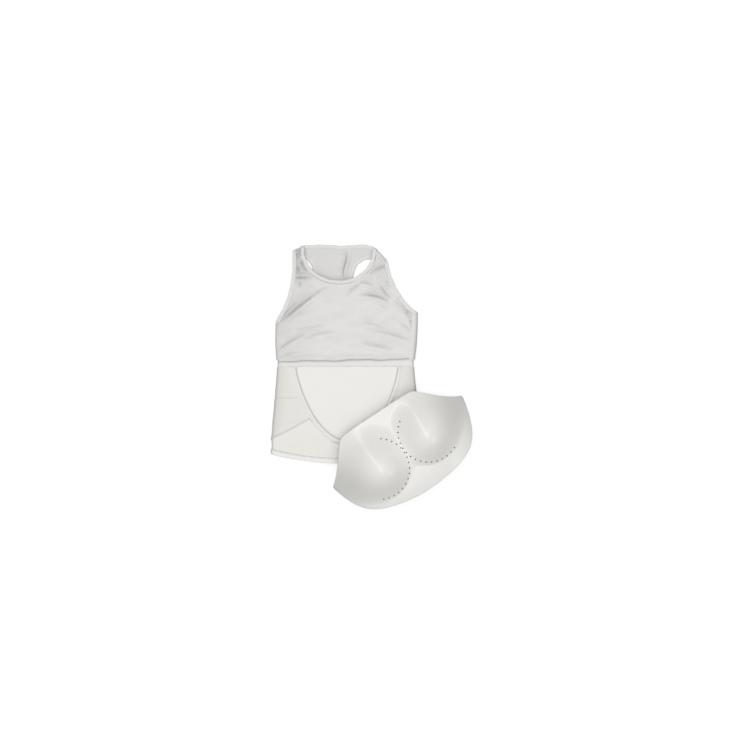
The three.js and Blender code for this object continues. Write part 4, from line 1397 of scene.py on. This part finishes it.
waistBand, waistPatches = makeWaistBand()
hemBand, hemPatches = makeHemBand()
backWaistCloth, backWaistPatches = makeBackWaist()
sideCloth = cloths["sidePadCloth"]
bibPad = padPiece("bib_pad_cushion", bibPatch, bib, cloths["padCloth"], bibDetail, bibShade)
leftWing = padPiece("left_wing_cushion", leftWingPatch, wing, sideCloth, wingDetail, wingShade)
rightWing = padPiece("right_wing_cushion", rightWingPatch, wing, sideCloth, wingDetail, wingShade)
lowerPad = padPiece("lower_panel_cushion", lowerPatch, lower, sideCloth, lowerDetail)
welt = makePiping()
finished(waistBand, "elastic", "waist_band")
finished(hemBand, "elastic", "hem_band")
finished(backWaistCloth, "side_padding", "back_waist_panel")
finished(bibPad, "padding", "bib_pad")
finished(leftWing, "side_padding", "left_wing")
finished(rightWing, "side_padding", "right_wing")
finished(lowerPad, "side_padding", "lower_panel")
finished(welt, "padding", "bib_piping")

# Rows of stitches on the belly section

rowColumns, rowEnd = 700, 6   # points of a row once round the tube, and how many are left free at each end


def makeHemRow():
    loop = allRound(hemLevel, rowColumns)
    path = np.stack([loop, hemEdge(loop, hemLevel) + hem["stitchAt"] * hem["width"]], 1)[rowEnd:-rowEnd]
    return stitchRow("hem_stitches", path, hem["stitchPitch"], hem["outer"] + hem["stitchDepth"],
                     zigzag=hem["stitchTurn"], length=hem["stitchLength"])


def makeWaistRow():
    level = waist["bottom"] + waist["stitchUp"]
    loop = allRound(level, rowColumns)
    path = np.stack([loop, level + 0 * loop], 1)[rowEnd:-rowEnd]
    return stitchRow("waist_stitches", path, waist["stitchPitch"], waist["outer"] + waist["stitchDepth"])


def makeWingRow(side, sign):
    # along the sewn line, on the swollen pad
    ends = [(sign * s, wing["seamLine"]) for s in (wing["stitchFrom"], wing["stitchTo"][side])]
    path, depth = straight(*ends, wing["stitchPoints"]), wing["outer"] - wing["swell"] + wing["seamDip"]
    return stitchRow(side + "_wing_stitches", path, wing["stitchPitch"], depth)


hemRow, waistRow = makeHemRow(), makeWaistRow()
finished(hemRow, "elastic")
finished(waistRow, "elastic")
for side, sign in (("left", -1), ("right", 1)):
    finished(makeWingRow(side, sign), "side_padding")
print("belly section made")

# Bust shell, in its own frame: u along it, v towards its top edge

shell = {
    "place": (79.0, -171.0),
    "turn": math.radians(33.5),
    "tilt": math.radians(3),
    "endShare": 0.985,
    "thickness": 3.0,
    "bottom": -83.5,
    "left": {"length": 173, "shoulderAt": 100, "bottomSweep": 55, "endSweep": 72, "tipDrop": 10},
    "right": {"length": 170, "shoulderAt": 85, "bottomSweep": 40, "endSweep": 87, "tipDrop": -2},
    "top": 110.0,
    "corner": 40.0,
    "shoulderPower": 1.4,
    "shoulderBlend": 9.0,
    "arch": 54.0,
    "archPower": 4,
    "rollTop": 4.0,                # how far the long edges roll down
    "rollBottom": 14.0,
    "cupAt": (65.0, 13.5),
    "cupSkew": 0.065,              # slope of the line through both cups
    "cupHeight": 31.0,
    "cupBridge": 12.0,             # how softly the two cups meet in the middle
    "cupPower": 1.3,               # over 1, so that the foot of the cup runs out softly
    "cupSoften": 1.2,              # more so up and outwards
    "cupRadius": 68.0,
    "cupSpread": 45.0,
    "cupLean": math.radians(55),
    "columns": 230,
    "rows": 120,
    "rimRings": 5,
}
vents = {"count": 17, "first": 127.0, "step": 10.5, "ring": 64.0, "radius": 1.45, "sides": 16, "reach": 12.0}


def shellEnds(u, key):
    # a size of the left or the right end, by the side on which u lies
    return np.where(u < 0, shell["left"][key], shell["right"][key])


def lowEdge(u):
    # lower edge: rises with the square of the way to the end, turns up steeply with its eighth power, and the
    # tip drops with its fourth
    share = np.abs(u) / shellEnds(u, "length")
    rise = shellEnds(u, "bottomSweep") * share ** 2 - shellEnds(u, "tipDrop") * share ** 4
    return shell["bottom"] + rise + shellEnds(u, "endSweep") * share ** 8


def highEdge(u):
    # upper edge: the lower of a level line and a slope to the end's corner, blended round, and the tip drops
    # with the fourth power of the way
    length = shellEnds(u, "length")
    beyond = np.maximum((length - np.abs(u)) / (length - shellEnds(u, "shoulderAt")), 0)
    slope = shell["corner"] + (shell["top"] - shell["corner"]) * beyond ** shell["shoulderPower"]
    level = (slope + shell["top"] - np.hypot(slope - shell["top"], shell["shoulderBlend"])) / 2
    return level - shellEnds(u, "tipDrop") * (np.abs(u) / length) ** 4


def shellHeight(u, v):
    # an arch along the shell with its long edges rolled down, and two domes on it that reach furthest up and
    # outwards
    arch = shell["arch"] * (1 - (np.abs(u) / shellEnds(u, "length")) ** shell["archPower"])
    rollTop = shell["rollTop"] * (v / shell["top"]) ** 2
    rollBottom = shell["rollBottom"] * (v / shell["bottom"]) ** 2
    across = np.hypot(u, shell["cupBridge"]) - shell["cupAt"][0]
    up = v - shell["cupAt"][1] - shell["cupSkew"] * u
    lean = 0.5 + 0.5 * np.cos(np.arctan2(up, across) - shell["cupLean"])
    share = np.hypot(across, up) / (shell["cupRadius"] + shell["cupSpread"] * lean ** 2)
    power = shell["cupPower"] + shell["cupSoften"] * lean
    cup = shell["cupHeight"] * np.maximum(1 - share ** 2, 0) ** power
    return arch - np.where(v > 0, rollTop, rollBottom) + cup


def shellPoints(u, v, depth):
    # points of the shell at a depth under its outer face, along the face's own normal
    step = 0.5
    du = (shellHeight(u + step, v) - shellHeight(u - step, v)) / (2 * step)
    dv = (shellHeight(u, v + step) - shellHeight(u, v - step)) / (2 * step)
    normal = np.stack([-du, -dv, np.ones_like(du)], -1)
    normal /= np.linalg.norm(normal, axis=-1, keepdims=True)
    return np.stack([u, v, shellHeight(u, v)], -1) - normal * depth


def laidShell(points, drop):
    # the shell tilted, set down on the table and turned where it lies
    c, s = math.cos(-shell["tilt"]), math.sin(-shell["tilt"])
    x, y, z = points[..., 0], points[..., 1] * c - points[..., 2] * s, points[..., 1] * s + points[..., 2] * c
    c, s = math.cos(shell["turn"]), math.sin(shell["turn"])
    return np.stack([shell["place"][0] + x * c - y * s, shell["place"][1] + x * s + y * c, z - drop], -1)


def makeShell():
    # outer face, round rim and inner face as one closed surface; the rim bulges by half the thickness
    left, right = (shell[side]["length"] * shell["endShare"] for side in ("left", "right"))
    u = np.linspace(-left, right, shell["columns"])[None]
    t = np.linspace(0, 1, shell["rows"])[:, None]
    v = lowEdge(u) * (1 - t) + highEdge(u) * t
    u = u + 0 * t
    lastRow, lastColumn = u.shape[0] - 1, u.shape[1] - 1
    loopRow = np.concatenate([np.zeros(lastColumn, int), np.arange(lastRow),
                              np.full(lastColumn, lastRow), np.arange(lastRow, 0, -1)])
    loopColumn = np.concatenate([np.arange(lastColumn), np.full(lastRow, lastColumn),
                                 np.arange(lastColumn, 0, -1), np.zeros(lastRow, int)])
    half = shell["thickness"] / 2
    outer, middle, inner = (shellPoints(u, v, depth) for depth in (0.0, half, shell["thickness"]))
    edgeOuter, edgeMiddle, edgeInner = (face[loopRow, loopColumn] for face in (outer, middle, inner))
    run = np.roll(edgeMiddle, -1, axis=0) - np.roll(edgeMiddle, 1, axis=0)
    outward = np.cross(run, edgeOuter - edgeInner)
    outward /= np.linalg.norm(outward, axis=1, keepdims=True)
    angles = np.linspace(0, np.pi, shell["rimRings"] + 2)[1:-1, None, None]
    rings = edgeMiddle + (edgeOuter - edgeMiddle) * np.cos(angles) + outward * half * np.sin(angles)
    count, faces = u.size, gridQuads(*u.shape)
    loop = loopRow * u.shape[1] + loopColumn
    ringLoops = 2 * count + np.arange(len(rings) * len(loop)).reshape(-1, len(loop))
    bands = np.concatenate([loop[None], ringLoops, count + loop[None]])
    bandQuads = gridQuads(*bands.shape, wrap=True)
    allFaces = np.concatenate([faces, faces[:, ::-1] + count, bands.ravel()[bandQuads][:, ::-1]])
    points = np.concatenate([outer.reshape(-1, 3), inner.reshape(-1, 3), rings.reshape(-1, 3)])
    drop = laidShell(points, 0)[:, 2].min()
    flat = np.concatenate([np.stack([u, v], -1).reshape(-1, 2)] * 2 + [np.zeros((rings.size // 3, 2))])
    piece = newObject("bust_shell_moulding", laidShell(points, drop), allFaces, flat[allFaces], milkyPlastic)
    return piece, drop


def makeDrills(drop):
    # one short round bar through the shell at each vent, upright in the shell's own frame
    angle = np.radians(vents["first"] + vents["step"] * np.arange(vents["count"]))
    u = shell["cupAt"][0] + vents["ring"] * np.cos(angle)
    v = shell["cupAt"][1] + vents["ring"] * np.sin(angle)
    skew = shell["cupSkew"] * shell["cupAt"][0]
    u, v = np.concatenate([u, -u]), np.concatenate([v + skew, v - skew])
    around = np.linspace(0, 2 * np.pi, vents["sides"], endpoint=False)[None]
    radius = np.array([0, 1, 1, 0])[:, None] * vents["radius"]
    height = np.array([-1, -1, 1, 1])[:, None] * vents["reach"] + 0 * around
    bar = np.stack([radius * np.cos(around), radius * np.sin(around), height], -1).reshape(-1, 3)
    centres = np.stack([u, v, shellHeight(u, v)], -1)
    points = (centres[:, None] + bar[None]).reshape(-1, 3)
    one = gridQuads(4, vents["sides"], wrap=True)
    quads = (one[None] + np.arange(len(u))[:, None, None] * len(bar)).reshape(-1, 4)
    first, places = weld(points)
    noUvs = np.zeros((len(quads), 4, 2))
    return newObject("ventDrills", laidShell(points[first], drop), places[quads], noUvs, milkyPlastic)


def drillVents(piece, drills):
    # cuts the vents clean through and keeps the result as the piece's own mesh
    cut = piece.modifiers.new("vents", "BOOLEAN")
    cut.operation, cut.object, cut.solver = "DIFFERENCE", drills, "EXACT"
    drilled = bpy.data.meshes.new_from_object(piece.evaluated_get(bpy.context.evaluated_depsgraph_get()))
    piece.modifiers.clear()
    piece.data = drilled
    drilled.shade_smooth()
    drilled.set_sharp_from_angle(angle=math.radians(sharpFrom["shell"]))
    bpy.data.objects.remove(drills)


bustShell, shellDrop = makeShell()
drillVents(bustShell, makeDrills(shellDrop))
finished(bustShell, "shell_plastic", "bust_shell")
print("bust shell made:", len(bustShell.data.polygons), "faces")

# Table, light and camera

studio = {
    "floor": 10.0,
    "walls": 6.0,
    "floorLevel": -0.0006,
    "floorGlow": 0.8,
    "floorColor": (0.3, 0.3, 0.3, 1),
    "floorRoughness": 0.9,
    "shade": (160.0, 88.0),        # half sizes of the painted shadow ellipse under the shell
    "shadeUp": 10.0,
    "shadeEdge": (0.92, 1.0),
    "shadeColor": (0.02, 0.02, 0.02, 1),
    "zenith": 0.755,
    "horizon": 0.0,
    "even": 0.7,
    "pole": (-0.04, 0.08, 1.0),
    "eye": (0.00935, 0.0013, 2.6),
    "frameWidth": 1.6125,
    "sensor": 36,
}
white = (1, 1, 1, 1)
lights = {
    # place, target, size, power, direction of the second side, strength in reflections
    "overhead": ((0.1, 0.1, 2.9), (0, 0, 0), (1.4, 1.4), 8, (0, 1, 0), 0.0),
    "key": ((1.4, -0.9, 1.7), (0, 0, 0), (0.7, 0.7), 3, (0, 1, 0), 0.0),
    "strip": ((-0.62, 0.3, 2.8), (0.08, -0.17, 0), (0.06, 5.3), 21, (0.6, -0.8, 0), 1.0),
}


def tableMaterial():
    # glowing white, with a painted shadow under the shell: dark inside an ellipse turned as the shell is
    material, tree, shader, around = startMaterial(
        "whiteTable", Roughness=studio["floorRoughness"], Specular_IOR_Level=0.0,
        Base_Color=studio["floorColor"], Emission_Strength=studio["floorGlow"])
    up, turn = studio["shadeUp"], shell["turn"]
    x, y = shell["place"][0] - up * math.sin(turn), shell["place"][1] + up * math.cos(turn)
    wide, deep = studio["shade"]
    under = addNode(tree, "Mapping", Vector=around, Location=(x * mm, y * mm, 0), Rotation=(0, 0, turn),
                    Scale=(wide * mm, deep * mm, 1))
    under.vector_type = "TEXTURE"
    away = addNode(tree, "VectorMath", Vector=under.outputs[0])
    away.operation = "LENGTH"
    start, end = studio["shadeEdge"]
    lit = addNode(tree, "MapRange", Value=away.outputs["Value"], From_Min=start, From_Max=end)
    lit.interpolation_type = "SMOOTHSTEP"
    feed(tree, shader.inputs["Emission Color"], mixColor(tree, lit.outputs[0], studio["shadeColor"], white))
    return material


def makeFloor():
    # white table with white walls far off, which throw no light or shadow back on the object
    half = studio["floor"] / 2
    square = [(-half, -half), (half, -half), (half, half), (-half, half)]
    corners = [(x, y, z) for z in (studio["floorLevel"], studio["walls"]) for x, y in square]
    mesh = bpy.data.meshes.new("floor")
    walls = [((k + 1) % 4, k, k + 4, (k + 1) % 4 + 4) for k in range(4)]
    mesh.from_pydata(corners, [], [(0, 1, 2, 3)] + walls)
    mesh.materials.append(tableMaterial())
    floor = bpy.data.objects.new("floor", mesh)
    floor.visible_diffuse = floor.visible_glossy = floor.visible_shadow = False
    bpy.context.scene.collection.objects.link(floor)


def makeLight(name, place, target, size, power, along, gloss):
    # rectangular soft light aimed at a point, its second side turned along a direction
    lamp = bpy.data.lights.new(name, "AREA")
    lamp.shape, lamp.size, lamp.size_y, lamp.energy = "RECTANGLE", size[0], size[1], power
    lamp.specular_factor = gloss
    light = bpy.data.objects.new(name, lamp)
    light.location = place
    light.visible_camera = False
    back = (Vector(place) - Vector(target)).normalized()
    side = Vector(along).cross(back).normalized()
    light.rotation_euler = Matrix((side, back.cross(side), back)).transposed().to_euler()
    bpy.context.scene.collection.objects.link(light)


def makeSky():
    # pale room, even overhead and darker towards the horizon, least so on the side of its pole
    world = bpy.data.worlds.new("softRoom")
    world.use_nodes = True
    tree = world.node_tree
    part = tree.nodes.new("ShaderNodeVectorMath")
    part.operation = "DOT_PRODUCT"
    feed(tree, part.inputs[0], tree.nodes.new("ShaderNodeTexCoord").outputs["Generated"])
    feed(tree, part.inputs[1], studio["pole"])
    rise = addNode(tree, "MapRange", Value=part.outputs["Value"], From_Max=studio["even"],
                   To_Min=studio["horizon"], To_Max=studio["zenith"])
    setInputs(tree, tree.nodes["Background"], {"Color": white, "Strength": rise.outputs[0]})
    bpy.context.scene.world = world


def makeCamera():
    # straight down on the table, with a lens that takes in the frame's width
    lens = bpy.data.cameras.new("eye")
    lens.sensor_width = studio["sensor"]
    lens.lens = lens.sensor_width * studio["eye"][2] / studio["frameWidth"]
    eye = bpy.data.objects.new("eye", lens)
    eye.location = studio["eye"]
    bpy.context.scene.collection.objects.link(eye)
    bpy.context.scene.camera = eye


makeFloor()
makeSky()
for name, light in lights.items():
    makeLight(name, *light)
makeCamera()
bpy.context.scene.view_settings.view_transform = "Standard"

print("scene ready")
